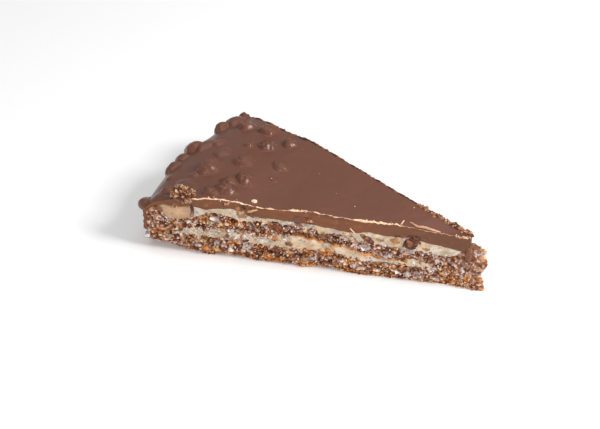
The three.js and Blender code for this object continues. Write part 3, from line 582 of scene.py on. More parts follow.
def cut_face(points, along, across, up, gold=0.0):
    """Push outwards and colour of the broken face of the filling, from crumbs, cream and marks."""
    cream = creaminess(points, along, across, up)
    crumb_push, light = crumb_relief(points)
    light = light + 0.12 * (1 - smooth(along, 4, 16))
    dents = smooth(noise(points, 1.7, 28), 0.4, 0.9)
    smear = noise(points * np.array([0.35, 0.35, 1.6]), 0.8, 31)
    cream_push = 0.35 * cloudy(points, 3.0, 23) - 0.1 - 0.4 * dents + 0.16 * smear
    push = crumb_push * (1 - cream) + cream_push * cream
    mauve = between(along, *THIN_CREAM) * smooth(up, 12.5, 14.0)
    colours = crumb_colours(points, light, gold - 0.35 * mauve)
    colours = mix(colours, cream_colours(points, along, across, up), cream)
    golden, dark = caramel_line(points, along, across, up)
    push = push * (1 - 0.7 * golden)
    # tone follows the crumbs' lightness, so the golden line and the marks are darkened in the clefts as
    # painted shade; the cleft above the golden line is painted darker still as shade.
    tone = 0.8 + 0.4 * np.clip(light, 0, 1)
    colours = mix(colours, np.asarray(TOASTED) * tone[..., None], golden * 0.95)
    colours = mix(colours, np.asarray(RUST) * tone[..., None] * 0.8, dark * 0.85)
    marks, mark_colour, mark_push = marked(along, across, up)
    colours = mix(colours, mark_colour * tone[..., None], 0.9 * marks)
    return push * (1 - 0.45 * marks) + mark_push - 0.5 * dark, colours


def cut_marks(along, up, marks):
    """Where single crumbs, stains and hollows lie: their share, colour and push outwards.

    A mark covers the points whose distance, measured in its half length and half height, is
    under 1; a little noise makes its outline ragged.
    """
    spot = np.stack([along, up, 0 * up], -1)
    ragged_along = along + 0.5 * noise(spot, 1.1, 90) + 0.35 * noise(spot, 0.5, 92)
    ragged_up = up + 0.45 * noise(spot, 1.1, 94) + 0.3 * noise(spot, 0.5, 96)
    share = np.zeros(up.shape)
    push = np.zeros(up.shape)
    colour = np.zeros(up.shape + (3,))
    for at, height, half_length, half_height, out, shade in marks:
        away = np.hypot((ragged_along - at) / half_length, (ragged_up - height) / half_height)
        cover = 1 - smooth(away, 0.75, 1.15)
        colour = mix(colour, shade, cover)
        share = np.maximum(share, cover)
        push = push + out * (1 - smooth(away, 0.3, 1.25))
    return share, colour, push


BACK_MARK_COUNT = 90


def back_marks():
    """Marks for the back cut, scattered through the layers in the same kinds as on the front."""
    rng = np.random.default_rng(19)
    shades = [CHALK, LILAC, TOASTED, CARAMEL, RUST, DARK, CHARCOAL, IVORY]
    marks = []
    for _ in range(BACK_MARK_COUNT):
        kind = rng.integers(len(shades))
        # The DARK and CHARCOAL kinds are sunk hollows, painted dark as shade.
        out = -0.5 if kind in (5, 6) else 0.3
        size = rng.uniform(0.5, 1.9)
        height = rng.uniform(0.8, 17.5)
        marks.append((rng.uniform(-3, 119), height, size, size * rng.uniform(0.4, 0.9), out, shades[kind]))
    return marks


MARKS = {-1: FRONT_MARKS, 1: back_marks()}


def marked(along, across, up):
    """Marks of both cuts on the points that lie on them, and none elsewhere."""
    along, across, up = np.broadcast_arrays(along, across, up)
    share = np.zeros(up.shape)
    push = np.zeros(up.shape)
    colour = np.zeros(up.shape + (3,))
    for side, marks in MARKS.items():
        here = across == side
        share[here], colour[here], push[here] = cut_marks(along[here], up[here], marks)
    return share, colour, push


# ------------------------------------------------------------------ the filling
# Step between points along a cut, and how far the middle of a cap stays from the tip and the rim.
CUT_STEP = 0.21
CAP_TIP = 8
CAP_RIM = 30


def layer_path(span, nose, fine, coarse):
    """The outline of a layer from above: front cut to the tip, nose, back cut, then the rim."""
    front = np.arange(span[1], span[0], -fine)
    nose_steps = max(6, int(2 * half_width(np.array(span[0]), nose) / fine))
    rim_steps = int(2 * span[1] * HALF_ANGLE / coarse)
    nose_sides = np.linspace(-1, 1, nose_steps + 2)[1:-1]
    rim_sides = np.linspace(1, -1, rim_steps + 2)[1:-1]
    along = np.concatenate([front, np.full(nose_steps, span[0]), front[::-1], np.full(rim_steps, span[1])])
    across = np.concatenate([np.full(len(front), -1.0), nose_sides, np.full(len(front), 1.0), rim_sides])
    return along, across


def outward_of(x, y):
    """Outward direction along a closed path: its tangent, turned a quarter turn to the right."""
    tx = np.roll(x, -3) - np.roll(x, 3)
    ty = np.roll(y, -3) - np.roll(y, 3)
    length = np.hypot(tx, ty) + 1e-9
    return ty / length, -tx / length


def layer_mesh(node, slot, wall, colours, inside, path, span, nose, bottom, top):
    """Closes a wall: three rings below and above it shrink towards the layer's middle line."""
    along, across = path
    rings = [wall]
    for keep in (0.8, 0.4, 0.0):
        inner = np.clip(along, span[0] + (1 - keep) * CAP_TIP, span[1] - (1 - keep) * CAP_RIM)
        cx, cy = plan_point(inner, across * keep, nose)
        rings.append(np.stack([cx, cy, top(inner, across * keep)], -1)[None])
        rings.insert(0, np.stack([cx, cy, bottom(inner, across * keep)], -1)[None])
    points = np.concatenate(rings)
    plain = np.broadcast_to(np.asarray(inside), (3,) + colours.shape[1:])
    tints = np.concatenate([plain, colours, plain])
    polygons = [grid_quads(points.shape[0], points.shape[1], wrap=True)]
    dress(mesh_from(node + "_looks", points, polygons, tints), slot, node)


def layer_wall(path, nose, bottom, top, rows):
    """The upright wall along the path: points, outward directions and share of the height."""
    along, across = path
    x, y = plan_point(along, across, nose)
    share = np.linspace(0, 1, rows)[:, None]
    low, high = bottom(along, across), top(along, across)
    z = low + (high - low) * share
    wall = np.stack([np.broadcast_to(x, z.shape), np.broadcast_to(y, z.shape), z], -1)
    nx, ny = outward_of(x, y)
    return wall, np.stack([nx, ny, 0 * nx], -1), share


def front_edge_break(along, across):
    """How far the lower edge is broken away near the front cut."""
    depth = (across + 1) * HALF_ANGLE * np.maximum(along, 1)
    return np.maximum(height_along(FRONT_EDGE, along), 0) * (1 - smooth(depth, 0, BREAK_DEPTH))


def hem_height(across):
    """Lower edge of the chocolate on the rim; at the front corner it has broken off higher up."""
    broken = 5.0 * (1 - smooth(across, -1, -0.82))
    return HEM + 0.5 * np.sin(across * 9) + 0.4 * np.sin(across * 23 + 1) + broken


def break_edge(points, along, across, share, rough=0.0):
    """Moves points of the base inwards and up where its lower edge is broken away."""
    broken = (front_edge_break(along, across) + rough) * (1 - smooth(share, 0, 0.55))
    points[..., 1] += 0.8 * broken * -np.sign(across) * (np.abs(across) > 0.4)
    points[..., 2] += 0.6 * broken * (1 - share)
    return points


def nut_layer(node, bottom, top, rows, tip_reach, is_base=False):
    """A crumbly layer, with its blunt tip shaped by tip_reach at even steps of the height."""
    span = (-NUT_NOSE["reach"], RADIUS - COAT_WALL - 0.1)
    path = layer_path(span, NUT_NOSE, CUT_STEP, 0.5)
    along, across = path
    wall, outward, share = layer_wall(path, NUT_NOSE, bottom, top, rows)
    up = wall[..., 2].copy()
    gold = 0.6 * (1 - smooth(up, 1.2, 3.0)) if is_base else 0.0
    push, colours = cut_face(wall, along, across, up, gold)
    slim = np.clip(half_width(along, NUT_NOSE) / 4, 0.45, 1)
    at_rim = along >= span[1] - 0.01
    under_coat = at_rim & (up > hem_height(across) - 0.6)
    wall += outward * np.where(under_coat, 0.0, push * slim)[..., None]
    reach = np.interp(share[:, 0], np.linspace(0, 1, len(tip_reach)), tip_reach)[:, None]
    wall[..., 0] += reach * (1 - smooth(along, span[0], span[0] + 3.5))
    for x, y, z, radius, out, shade in NOSE_SPOTS:
        away = np.linalg.norm(wall - np.array([x, y, z]), axis=-1) / radius
        away = away + 0.3 * noise(wall, 0.9, 260)
        colours = mix(colours, shade, 0.85 * (1 - smooth(away, 0.7, 1.1)))
        wall += outward * (out * (1 - smooth(away, 0.3, 1.1)))[..., None]
    if is_base:
        turn = across * HALF_ANGLE
        hem = hem_height(across)
        foot = (COAT_WALL - 0.3) * at_rim * (1 - smooth(up, hem - 1.4, hem - 0.8))
        wall[..., 0] -= foot * np.cos(turn)
        wall[..., 1] += foot * np.sin(turn)
        rough = np.maximum(0, 0.5 * cloudy(wall, 1.8, 81) + 0.2) * ~at_rim
        wall = break_edge(wall, along, across, share, rough)
    layer_mesh(node, "nut_sponge", wall, colours, BROWN, path, span, NUT_NOSE, bottom, top)


def cream_layer(node, span, nose, bottom, top):
    """A layer of cream between two boundaries, with its colours and crumbs from cut_face()."""
    path = layer_path(span, nose, CUT_STEP, 2.0)
    along, across = path
    wall, outward, _ = layer_wall(path, nose, bottom, top, 24)
    push, colours = cut_face(wall, along, across, wall[..., 2].copy())
    wall += outward * push[..., None]
    layer_mesh(node, "cream", wall, colours, IVORY, path, span, nose, bottom, top)


# ------------------------------------------------------------------ the chocolate coat
FLAT_RUN = RADIUS - SHOULDER_RUN
SLOPES = np.linspace(0, np.pi / 2, 400)
SHOULDER_OUT = SHOULDER_RUN * np.sin(SLOPES)
SHOULDER_DOWN = SHOULDER_DROP * (1 - np.cos(SLOPES))
SHOULDER_OVER = np.concatenate([[0], np.cumsum(np.hypot(np.diff(SHOULDER_OUT), np.diff(SHOULDER_DOWN)))])
RIM_EDGE = FLAT_RUN + SHOULDER_OVER[-1]


def profile(over):
    """The coat's outline by distance over the top: flat, quarter ellipse, then straight wall.

    Returns the distance from the tip, the height and the outward direction (outward, upward).
    """
    over = np.asarray(over, float)
    slope = np.interp(over - FLAT_RUN, SHOULDER_OVER, SLOPES)
    along = np.where(over <= FLAT_RUN, over, FLAT_RUN + SHOULDER_RUN * np.sin(slope))
    height = TOP - SHOULDER_DROP * (1 - np.cos(slope)) - np.maximum(over - RIM_EDGE, 0)
    outward = SHOULDER_DROP * np.sin(slope)
    upward = SHOULDER_RUN * np.cos(slope)
    length = np.hypot(outward, upward)
    return along, height, outward / length, upward / length


def coat_point(along, height, across):
    """A point of the coat from its distance to the tip, its height and its place across."""
    x, y = plan_point(along, across, COAT_NOSE)
    return np.stack(np.broadcast_arrays(x, y, height), -1)


def lump_rise(points):
    """Bulge over the toffee lumps: the highest of rise * (1 - distance^2)^0.68, in lump radii.

    The distance is partly round and partly the largest of five sloping planes, which makes the
    lumps angular; noise moves their outlines, and the crinkled ones get small folds.
    """
    rng = np.random.default_rng(5)
    highest = np.zeros(points.shape[:-1])
    crinkled = np.zeros(points.shape[:-1])
    warped = points + 0.8 * shift_noise(points, 3.4, 300) + 0.3 * shift_noise(points, 1.3, 304)
    for over, turn, width, rise, crinkle in LUMPS:
        along, height, _, _ = profile(over)
        middle = coat_point(along, height, np.radians(turn) / HALF_ANGLE)
        planes = rng.normal(size=(5, 3))
        planes /= np.linalg.norm(planes, axis=1, keepdims=True)
        away = (warped - middle) / (width / 2)
        flat = (np.abs(away @ planes.T) ** 6).sum(-1) ** (1 / 6)
        near = 1 - (0.45 * np.sqrt((away ** 2).sum(-1)) + 0.6 * flat) ** 2
        dome = 0.5 * (near + np.sqrt(near ** 2 + 0.006))
        dome = rise * np.where(near < -0.6, 0, dome) ** 0.68
        highest = np.maximum(highest, dome)
        crinkled = np.maximum(crinkled, crinkle * np.clip(near, 0, 1) ** 0.5)
    folds = np.abs(cloudy(points, 1.7, 310)) + 0.5 * np.abs(noise(points, 0.8, 313))
    return highest + 1.2 * crinkled * (folds - 0.3)


def top_swell(along, across):
    """Swells of the top, rise * (1 - distance^2)^2, that fade towards the back, less the sag there."""
    rise = sum(r * np.maximum(0, 1 - ((along - at) / half) ** 2) ** 2 for at, half, r in FRONT_SWELLS)
    return rise * ((1 - across) / 2) ** 1.5 - sag(along, across)


def coat_skin(over, across):
    """The outside of the coat: plain profile, pushed outwards by lumps and a slight unevenness."""
    along, height, outward, upward = profile(over)
    height = np.where(over > RIM_EDGE, np.maximum(height, hem_height(across)), height)
    plain = coat_point(along, height, across)
    bulge = lump_rise(plain) * smooth(height, 2.5, 7.0) + 0.12 * cloudy(plain, 7.0, 320)
    bulge = bulge + 0.04 * noise(plain, 2.0, 325)
    width = np.maximum(along, 2)
    edge = smooth(np.abs(across) * width, width - 1.6, width)
    bulge = bulge + edge * 0.3 * noise(plain, 0.9, 328)
    turn = across * HALF_ANGLE
    plain[..., 0] -= bulge * outward * np.cos(turn)
    plain[..., 1] += bulge * outward * np.sin(turn)
    plain[..., 2] += bulge * upward + top_swell(along, across) * upward
    return plain


def coat_lining(over, across):
    """The inside of the coat: the underside over the filling, then down the inside of the wall."""
    along, height, _, _ = profile(over)
    inner = np.minimum(along, RADIUS - COAT_WALL)
    low = np.where(over > RIM_EDGE, np.maximum(height, hem_height(across)), 99.0)
    return coat_point(inner, np.minimum(coat_underside(np.maximum(inner, 0), across), low), across)


# The coat's grid: millimetres between stations, columns of the skin, skin columns to one of the
# lining, and rows of the cut.
COAT_STEP = 0.4
COAT_ACROSS = 160
COAT_INNER = 5
CUT_ROWS = 18


def cut_relief(points, seed):
    """The knife's cut through chocolate: slow waves, fine scratches along the cut and small chips."""
    scratched = points * np.array([0.25, 0.25, 1.0])
    chips = smooth(cloudy(points, 1.7, seed + 3), 0.42, 0.8)
    return 0.14 * cloudy(points, 4.0, seed) + 0.06 * noise(scratched, 0.5, seed + 1) - 0.35 * chips


def chocolate_coat():
    """One closed shell: skin, both cuts and lining go round each station as a ring of points."""
    hem_over = RIM_EDGE + TOP - SHOULDER_DROP - HEM + 1.2
    over = np.arange(-COAT_NOSE["reach"], hem_over, COAT_STEP)[:, None]
    along = profile(over)[0]
    sides = np.linspace(-1, 1, COAT_ACROSS + 1)[None, :]
    skin = coat_skin(over, sides)
    lining_sides = np.linspace(1, -1, COAT_ACROSS // COAT_INNER + 1)[None, :]
    lining = coat_lining(over, lining_sides)
    share = np.linspace(0, 1, CUT_ROWS + 1)[1:-1][None, :, None]
    front = lining[:, -1:] * (1 - share) + skin[:, :1] * share
    back = skin[:, -1:] * (1 - share) + lining[:, :1] * share
    cut_tints = {}
    for cut, side, seed in ((front, -1, 330), (back, 1, 340)):
        marks, mark_colour, mark_push = marked(along, side, cut[..., 2])
        push = (cut_relief(cut, seed) + mark_push) * np.clip((over + COAT_NOSE["reach"]) / 6, 0, 1)
        cut_tints[side] = mix(cut_colours(cut), mark_colour, 0.85 * marks)
        cut[..., 0] -= push * np.sin(HALF_ANGLE)
        cut[..., 1] += push * np.cos(HALF_ANGLE) * side
    ring = np.concatenate([front, skin, back, lining], 1)
    stations, columns = ring.shape[:2]
    polygons = [grid_quads(stations, columns, wrap=True)[:, ::-1]] + ring_caps(stations, columns)
    lining_tint = np.broadcast_to(np.asarray(CHOCOLATE_CUT), lining.shape)
    tints = np.concatenate([cut_tints[-1], skin_colours(skin), cut_tints[1], lining_tint], 1)
    dress(mesh_from("chocolate_coat_looks", ring, polygons, tints), "milk_chocolate", "chocolate_coat")


def ring_caps(stations, columns):
    """Closes the shell at the tip and at the hem: each lining step faces several skin steps."""
    rows = CUT_ROWS - 1
    skin = np.arange(rows, rows + COAT_ACROSS + 1)
    lining = np.arange(columns - COAT_ACROSS // COAT_INNER - 1, columns)[::-1]
    front = np.concatenate([lining[:1], np.arange(rows), skin[:1]])
    back_cut = np.arange(rows + COAT_ACROSS + 1, 2 * rows + COAT_ACROSS + 1)[::-1]
    back = np.concatenate([lining[-1:], back_cut, skin[-1:]])
    bands = np.stack([front[:-2], front[1:-1], back[1:-1], back[:-2]], -1)[1:, ::-1]
    over_skin = np.concatenate([[front[-2]], skin, [back[-2]]])[None, ::-1]
    over_lining = np.concatenate([[front[1]], [back[1]], lining[::-1]])[None]
    last = (stations - 1) * columns
    starts = np.arange(COAT_ACROSS // COAT_INNER)
    seam = [skin[starts * COAT_INNER + k] for k in range(COAT_INNER + 1)]
    seam += [lining[starts + 1], lining[starts]]
    ends = [front[None], back[None, ::-1]]
    return [bands, over_skin, over_lining, np.stack(seam, -1) + last] + [end + last for end in ends]


def skin_colours(points):
    """Even milk chocolate with faint clouds and a few pale specks."""
    skin = np.asarray(CHOCOLATE_SKIN) * (1 + 0.03 * cloudy(points, 12.0, 350)[..., None])
    near, number, _ = grains(points, 3.2, 352)
    speck = (number > 0.96) * (1 - smooth(near, 0.05, 0.12))
    return mix(skin, CHOCOLATE_PALE, speck * 0.2)


def cut_colours(points):
    """The cut is warmer than the skin, darkest at the tip, streaked and scuffed by the knife."""
    streak = cloudy(points * np.array([0.3, 0.3, 1.0]), 1.4, 355)
    away = np.hypot(points[..., 0], points[..., 1])
    tone = 0.90 + 0.10 * smooth(away, 10, 45) - 0.03 * smooth(away, 80, 95)
    cut = np.asarray(CHOCOLATE_CUT) * (tone * (1 + 0.13 * streak))[..., None]
    scuff = smooth(cloudy(points, 1.6, 358), 0.35, 0.9)
    return mix(cut, CHOCOLATE_PALE, scuff * 0.26)


# ------------------------------------------------------------------ toffee, drips and slivers
CUT_TIPWARD = np.array([np.cos(HALF_ANGLE), np.sin(HALF_ANGLE), 0.0])
CUT_INWARD = np.array([-np.sin(HALF_ANGLE), np.cos(HALF_ANGLE), 0.0])
UPWARD = np.array([0.0, 0.0, 1.0])
CUT_AXES = (CUT_TIPWARD, CUT_INWARD, UPWARD)


def on_cut(along, up, deep=0.0):
    """A point of the front cut, a distance deep behind it."""
    along, up, deep = (np.asarray(v, float)[..., None] for v in (along, up, deep))
    return -along * CUT_TIPWARD + deep * CUT_INWARD + up * UPWARD


def rough_ball(size, seed, roughness, grain):
    """An ellipsoid pushed in and out by grains of two sizes; also returns its lightness, lowered in the
    clefts as painted shade.
    """
    rows, columns = 64, 110
    lean = np.linspace(0.001, np.pi - 0.001, rows)[:, None]
    turn = np.linspace(0, 2 * np.pi, columns, endpoint=False)[None]
    reach = np.sin(lean)
    ball = np.stack(np.broadcast_arrays(reach * np.cos(turn), reach * np.sin(turn), np.cos(lean)), -1)
    base = ball * np.array(size) / 2
    _, number, cleft = grains(base, grain, seed)
    _, small_number, small_cleft = grains(base, grain * 0.45, seed + 9)
    push = roughness * (0.9 * (number - 0.55) - 0.5 * cleft + 0.5 * (small_number - 0.5) - 0.25 * small_cleft)
    light = 0.5 + 0.5 * (number - 0.5) + 0.6 * (small_number - 0.5) - 0.3 * cleft - 0.2 * small_cleft
    local = base + ball * (push + 0.12 * cloudy(base, 2.5, seed + 4))[..., None]
    return local, light, [grid_quads(rows, columns, wrap=True)[:, ::-1]]


def broken_lump(name, slot, place, axes, size, stops, roughness, grain, seed, tilt=0.0, node=None):
    """A rough ball, tilted and set down at a place, coloured from clefts, painted dark as shade, to high
    grains by stops.
    """
    local, light, polygons = rough_ball(size, seed, roughness, grain)
    angle = np.radians(tilt)
    x = local[..., 0] * np.cos(angle) + local[..., 2] * np.sin(angle)
    z = local[..., 2] * np.cos(angle) - local[..., 0] * np.sin(angle)
    points = place + x[..., None] * axes[0]
    points = points + local[..., 1:2] * axes[1] + z[..., None] * axes[2]
    dress(mesh_from(name, points, polygons, ramp(light, stops)), slot, node)


def strip(name, middle, radius_out, radius_up, colour, seed, rough=0.25):
    """A strip with an uneven oval section carried along a path, closed at both ends."""
    count, around = len(middle), 10
    forward = np.gradient(middle, axis=0)
    forward /= np.linalg.norm(forward, axis=1, keepdims=True)
    side = np.cross(forward, UPWARD + 0.01 * CUT_INWARD)
    side /= np.linalg.norm(side, axis=1, keepdims=True)
    up = np.cross(side, forward)
    turn = np.linspace(0, 2 * np.pi, around, endpoint=False)
    section = side[:, None] * np.cos(turn)[None, :, None] * np.reshape(radius_out, (-1, 1, 1))
    section = section + up[:, None] * np.sin(turn)[None, :, None] * np.reshape(radius_up, (-1, 1, 1))
    bumpy = 1 + rough * noise(middle[:, None] + section * 2, 0.9, seed)[..., None]
    points = middle[:, None] + section * bumpy
    ends = np.arange(around)[None]
    polygons = [grid_quads(count, around, wrap=True), ends[:, ::-1], (count - 1) * around + ends]
    tint = np.asarray(colour).reshape(-1, 1, 3) * (1 + 0.12 * noise(points, 1.1, seed + 2)[..., None])
    dress(mesh_from(name, points, polygons, tint), "milk_chocolate")


def tapered(count, start, end, power):
    """Thickness along a strip: the sine of the share of its length, to a power."""
    return np.sin(np.pi * np.linspace(start, end, count)) ** power


def noise_line(over, sideways=0.0):
    """Places on a straight line, to read noise along an edge."""
    return np.stack([over, over * 0 + sideways, over * 0], -1)


def even_path(points, count):
    """A smooth path of even steps through a few points, by a moving average of straight runs."""
    points = np.asarray(points, float)
    steps = np.concatenate([[0], np.cumsum(np.linalg.norm(np.diff(points, axis=0), axis=1))])
    at = np.linspace(0, steps[-1], count)
    path = np.stack([np.interp(at, steps, points[:, k]) for k in range(points.shape[1])], -1)
    for _ in range(max(2, count // 12)):
        path[1:-1] = (path[:-2] + 2 * path[1:-1] + path[2:]) / 4
    return path


def edge_point(over, side, lift=0.0):
    """A point on the top edge of a cut."""
    return coat_skin(np.asarray(over, float), np.full(np.shape(over), float(side))) + lift * UPWARD


# ------------------------------------------------------------------ crumbs
def pebble(rings, around):
    """A unit ball of few faces: poles and rings at even angles, as points and triangles."""
    tilt = np.pi * np.arange(1, rings + 1) / (rings + 1)
    turn = 2 * np.pi * np.arange(around) / around
    x = np.outer(np.sin(tilt), np.cos(turn))
    y = np.outer(np.sin(tilt), np.sin(turn))
    z = np.outer(np.cos(tilt), np.ones(around))
    points = np.concatenate([[[0, 0, 1]], np.stack([x, y, z], -1).reshape(-1, 3), [[0, 0, -1]]])
    j = np.arange(around)
    after = (j + 1) % around
    foot = 1 + (rings - 1) * around
    faces = [np.stack([0 * j, 1 + j, 1 + after], -1)]
    faces.append(np.stack([0 * j + len(points) - 1, foot + after, foot + j], -1))
    for level in range(rings - 1):
        here, below = 1 + level * around, 1 + (level + 1) * around
        faces.append(np.stack([here + j, below + j, below + after], -1))
        faces.append(np.stack([here + j, below + after, here + after], -1))
    return points, np.concatenate(faces)


def turned(count):
    """Random turns as matrices, from evenly spread unit quaternions."""
    q = rng.normal(size=(count, 4))
    q /= np.linalg.norm(q, axis=1, keepdims=True)
    w, x, y, z = q.T
    rows = [
        [1 - 2 * (y * y + z * z), 2 * (x * y - z * w), 2 * (x * z + y * w)],
        [2 * (x * y + z * w), 1 - 2 * (x * x + z * z), 2 * (y * z - x * w)],
        [2 * (x * z - y * w), 2 * (y * z + x * w), 1 - 2 * (x * x + y * y)],
    ]
    return np.stack([np.stack(row, -1) for row in rows], 1)


def crumbs(name, slot, places, sizes, colours, flat=0.6):
    """Many small broken bits in one mesh: a rough pebble, stretched, turned and put at each place."""
    ball, faces = pebble(3, 6)
    count = len(places)
    shape = ball[None] * (1 + 0.25 * rng.normal(size=(count, len(ball), 1)).clip(-1.2, 1.2))
    stretch = rng.uniform(flat, 1.25, size=(count, 1, 3)) * np.asarray(sizes).reshape(-1, 1, 1) / 2
    points = np.einsum("nij,npj->npi", turned(count), shape * stretch) + places[:, None]
    polygons = faces[None] + (np.arange(count) * len(ball))[:, None, None]
    tint = np.broadcast_to(np.asarray(colours).reshape(-1, 1, 3), points.shape)
    dress(mesh_from(name, points, [polygons.reshape(-1, 3)], tint, flat=True), slot)


# ------------------------------------------------------------------ materials
def finish_of(name, roughness, specular=0.5, bump=0.0, bump_size=1.0, subsurface=0.0, colour=None):
    """A material of one colour, or else of the piece's own tint, with a fine bump in millimetres."""
    material = bpy.data.materials.new(name)
    material.use_nodes = True
    nodes, links = material.node_tree.nodes, material.node_tree.links
    shader = nodes["Principled BSDF"]
    settings = {
        "Roughness": roughness,
        "Specular IOR Level": specular,
        "Subsurface Weight": subsurface,
        "Subsurface Radius": (1.0, 0.6, 0.35),
        "Subsurface Scale": 0.0012,
    }
    for socket, value in settings.items():
        shader.inputs[socket].default_value = value
    if colour:
        shader.inputs["Base Color"].default_value = (*linear(colour), 1.0)
    else:
        tint = nodes.new("ShaderNodeAttribute")
        tint.attribute_name = "tint"
        links.new(tint.outputs["Color"], shader.inputs["Base Color"])
    if bump:
        place = nodes.new("ShaderNodeTexCoord")
        grain = nodes.new("ShaderNodeTexNoise")
        grain.inputs["Scale"].default_value = 1.0 / (bump_size * MM)
        grain.inputs["Detail"].default_value = 3.0
        dent = nodes.new("ShaderNodeBump")
        dent.inputs["Strength"].default_value = 1.0
        dent.inputs["Distance"].default_value = bump * MM
        links.new(place.outputs["Object"], grain.inputs["Vector"])
        links.new(grain.outputs["Fac"], dent.inputs["Height"])
        links.new(dent.outputs["Normal"], shader.inputs["Normal"])
    return material


FINISHES = {
    "milk_chocolate": finish_of("milk_chocolate", 0.33, 0.42, bump=0.025, bump_size=1.4),
    "nut_sponge": finish_of("nut_sponge", 0.65, 0.2, bump=0.1, bump_size=0.35),
    "cream": finish_of("cream", 0.5, 0.3, bump=0.07, bump_size=0.9, subsurface=0.3),
    "toffee": finish_of("toffee", 0.4, 0.3, bump=0.06, bump_size=0.4),
}


def dress(piece, slot, node=None):
    """Gives a piece the finish of its slot and the body it rides on, and hides the node it stands for."""
    piece.data.materials.append(FINISHES[slot])
    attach(piece, "root")
    if node:
        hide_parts(node)


# ------------------------------------------------------------------ build the filling
def ground(along, across):
    """The flat base, at height 0 everywhere."""
    return np.zeros(np.broadcast(along, across).shape)


nut_layer("lower_nut_layer", ground, lower_nut_top, 42, (1.0, 0.6, 0.2, -0.5, -1.2), is_base=True)
nut_layer("upper_nut_layer", upper_nut_bottom, upper_nut_top, 34, (-1.4, 0.2, 1.5, 0.6, -0.6))
cream_layer("lower_cream", LOWER_CREAM_SPAN, NUT_NOSE, lower_nut_top, upper_nut_bottom)
cream_layer("upper_cream", UPPER_CREAM_SPAN, COAT_NOSE, upper_nut_top, coat_underside)

# ------------------------------------------------------------------ build the coat and its bits
chocolate_coat()

# How each broken piece is coloured from its clefts, painted dark as shade, to its high grains, its roughness
# and grain.
TOFFEE_LOOKS = [
    ("toffee_nugget", [(0.0, (0.24, 0.11, 0.05)), (0.32, (0.40, 0.23, 0.13)), (0.64, (0.60, 0.41, 0.29)),
                       (1.0, (0.96, 0.82, 0.68))], 1.15, 1.25),
    ("toffee_ball", [(0.0, (0.20, 0.07, 0.02)), (0.45, (0.42, 0.22, 0.11)), (1.0, (0.66, 0.45, 0.31))],
     0.3, 2.8),
    ("toffee_stick", [(0.0, DARK), (0.35, (0.41, 0.22, 0.12)), (1.0, (0.62, 0.42, 0.30))], 0.25, 1.8),
    ("toffee_shard", [(0.0, BARK), (0.35, CARAMEL), (1.0, (0.85, 0.68, 0.46))], 0.8, 1.5),
    ("toffee_crumb", [(0.0, BARK), (0.5, RUST), (1.0, (0.72, 0.50, 0.40))], 0.8, 1.3),
]
for index, (node, stops, roughness, grain) in enumerate(TOFFEE_LOOKS):
    along, up, deep, size, tilt = TOFFEE[node]
    broken_lump(node + "_looks", "toffee", on_cut(along, up, deep), CUT_AXES, size, stops, roughness, grain,
                400 + 20 * index, tilt, node)

# The pale ragged burr that the knife left along the front top edge: along and half thickness.
BURR = [
    (-1, 0.1), (4, 0.14), (21, 0.13), (23.5, 0.22), (25, 0.36), (28, 0.4), (33, 0.44), (38, 0.4), (41, 0.18),
    (50, 0.19), (56, 0.22), (60, 0.36), (64, 0.3), (65.5, 0.13), (70, 0.15), (71.5, 0.4), (73, 0.2),
    (80, 0.16), (83, 0.4), (86, 0.34), (88, 0.36), (91, 0.3), (97, 0.3), (99, 0.42), (101, 0.3),
]
burr_over = np.arange(-0.5, 101.0, 0.25)
burr_line = noise_line(burr_over)
burr_rough = 0.9 + 0.4 * cloudy(burr_line, 3.0, 500) + 0.45 * noise(burr_line, 0.8, 504)
burr_size = np.interp(burr_over, *zip(*BURR)) * np.clip(burr_rough, 0.35, 1.6)
burr_middle = edge_point(burr_over, -1) - CUT_INWARD * 0.1
burr_middle = burr_middle + UPWARD * (0.1 * noise(burr_line, 1.4, 507))[:, None]
burr_tint = mix((0.68, 0.50, 0.39), CHOCOLATE_PALE, smooth(burr_size, 0.1, 0.26))
strip("edge_burr", burr_middle, burr_size, burr_size * 0.75, burr_tint, 510)

# A thinner burr along the back top edge, ragged and thicker near the tip, painted darker as shade.
back_over = np.arange(2.0, 118.0, 0.3)
back_line = noise_line(back_over, 50)
back_size = np.interp(back_over, [2, 4, 20, 26, 118], [0.3, 0.7, 0.6, 0.36, 0.4])
back_size = back_size * np.clip(0.9 + 0.7 * cloudy(back_line, 2.5, 530), 0.3, 1.6)
back_middle = edge_point(back_over, 1) + CUT_INWARD * 0.05
back_share = smooth(cloudy(back_line, 1.6, 534), -0.3, 0.5)
back_painted_shade_tint = mix((0.30, 0.17, 0.09), (0.62, 0.44, 0.30), back_share)
strip("back_edge_burr", back_middle, back_size, back_size * 0.7, back_painted_shade_tint, 536, rough=0.4)

# The shaving that lies on the top near the tip.
shaving_plan = even_path(SHAVING_PATH, 60)
shaving_rise = TOP + top_swell(shaving_plan[:, 0], -0.7) + 0.25
shaving_middle = np.stack([-shaving_plan[:, 0], shaving_plan[:, 1], shaving_rise], -1)
shaving_size = tapered(60, 0.04, 0.98, 0.35)
strip("chocolate_shaving", shaving_middle, 0.6 * shaving_size, 0.4 * shaving_size, (0.74, 0.56, 0.44), 520)

# Slivers on the front edge, in the cream and over the shard: path as along, up, deep, then radius.
SLIVERS = [
    ("edge_sliver", [(24.0, 24.6, 0.2), (23.4, 25.6, 0.4), (22.9, 26.4, 0.8)], 0.26, CHOCOLATE_PALE),
    ("cream_sliver", [(42.3, 20.6, -0.1), (41.4, 19.6, -0.2), (40.4, 18.4, 0.0)], 0.2, CHOCOLATE_PALE),
    ("shard_sliver", [(80.2, 21.9, 0.0), (78.4, 22.9, -0.3), (76.4, 23.5, -0.1)], 0.42, (0.80, 0.62, 0.46)),
]
for index, (name, path, radius, colour) in enumerate(SLIVERS):
    size = radius * tapered(24, 0.05, 0.95, 0.5)
    strip(name, on_cut(*even_path(path, 24).T), size, size, colour, 540 + 5 * index)

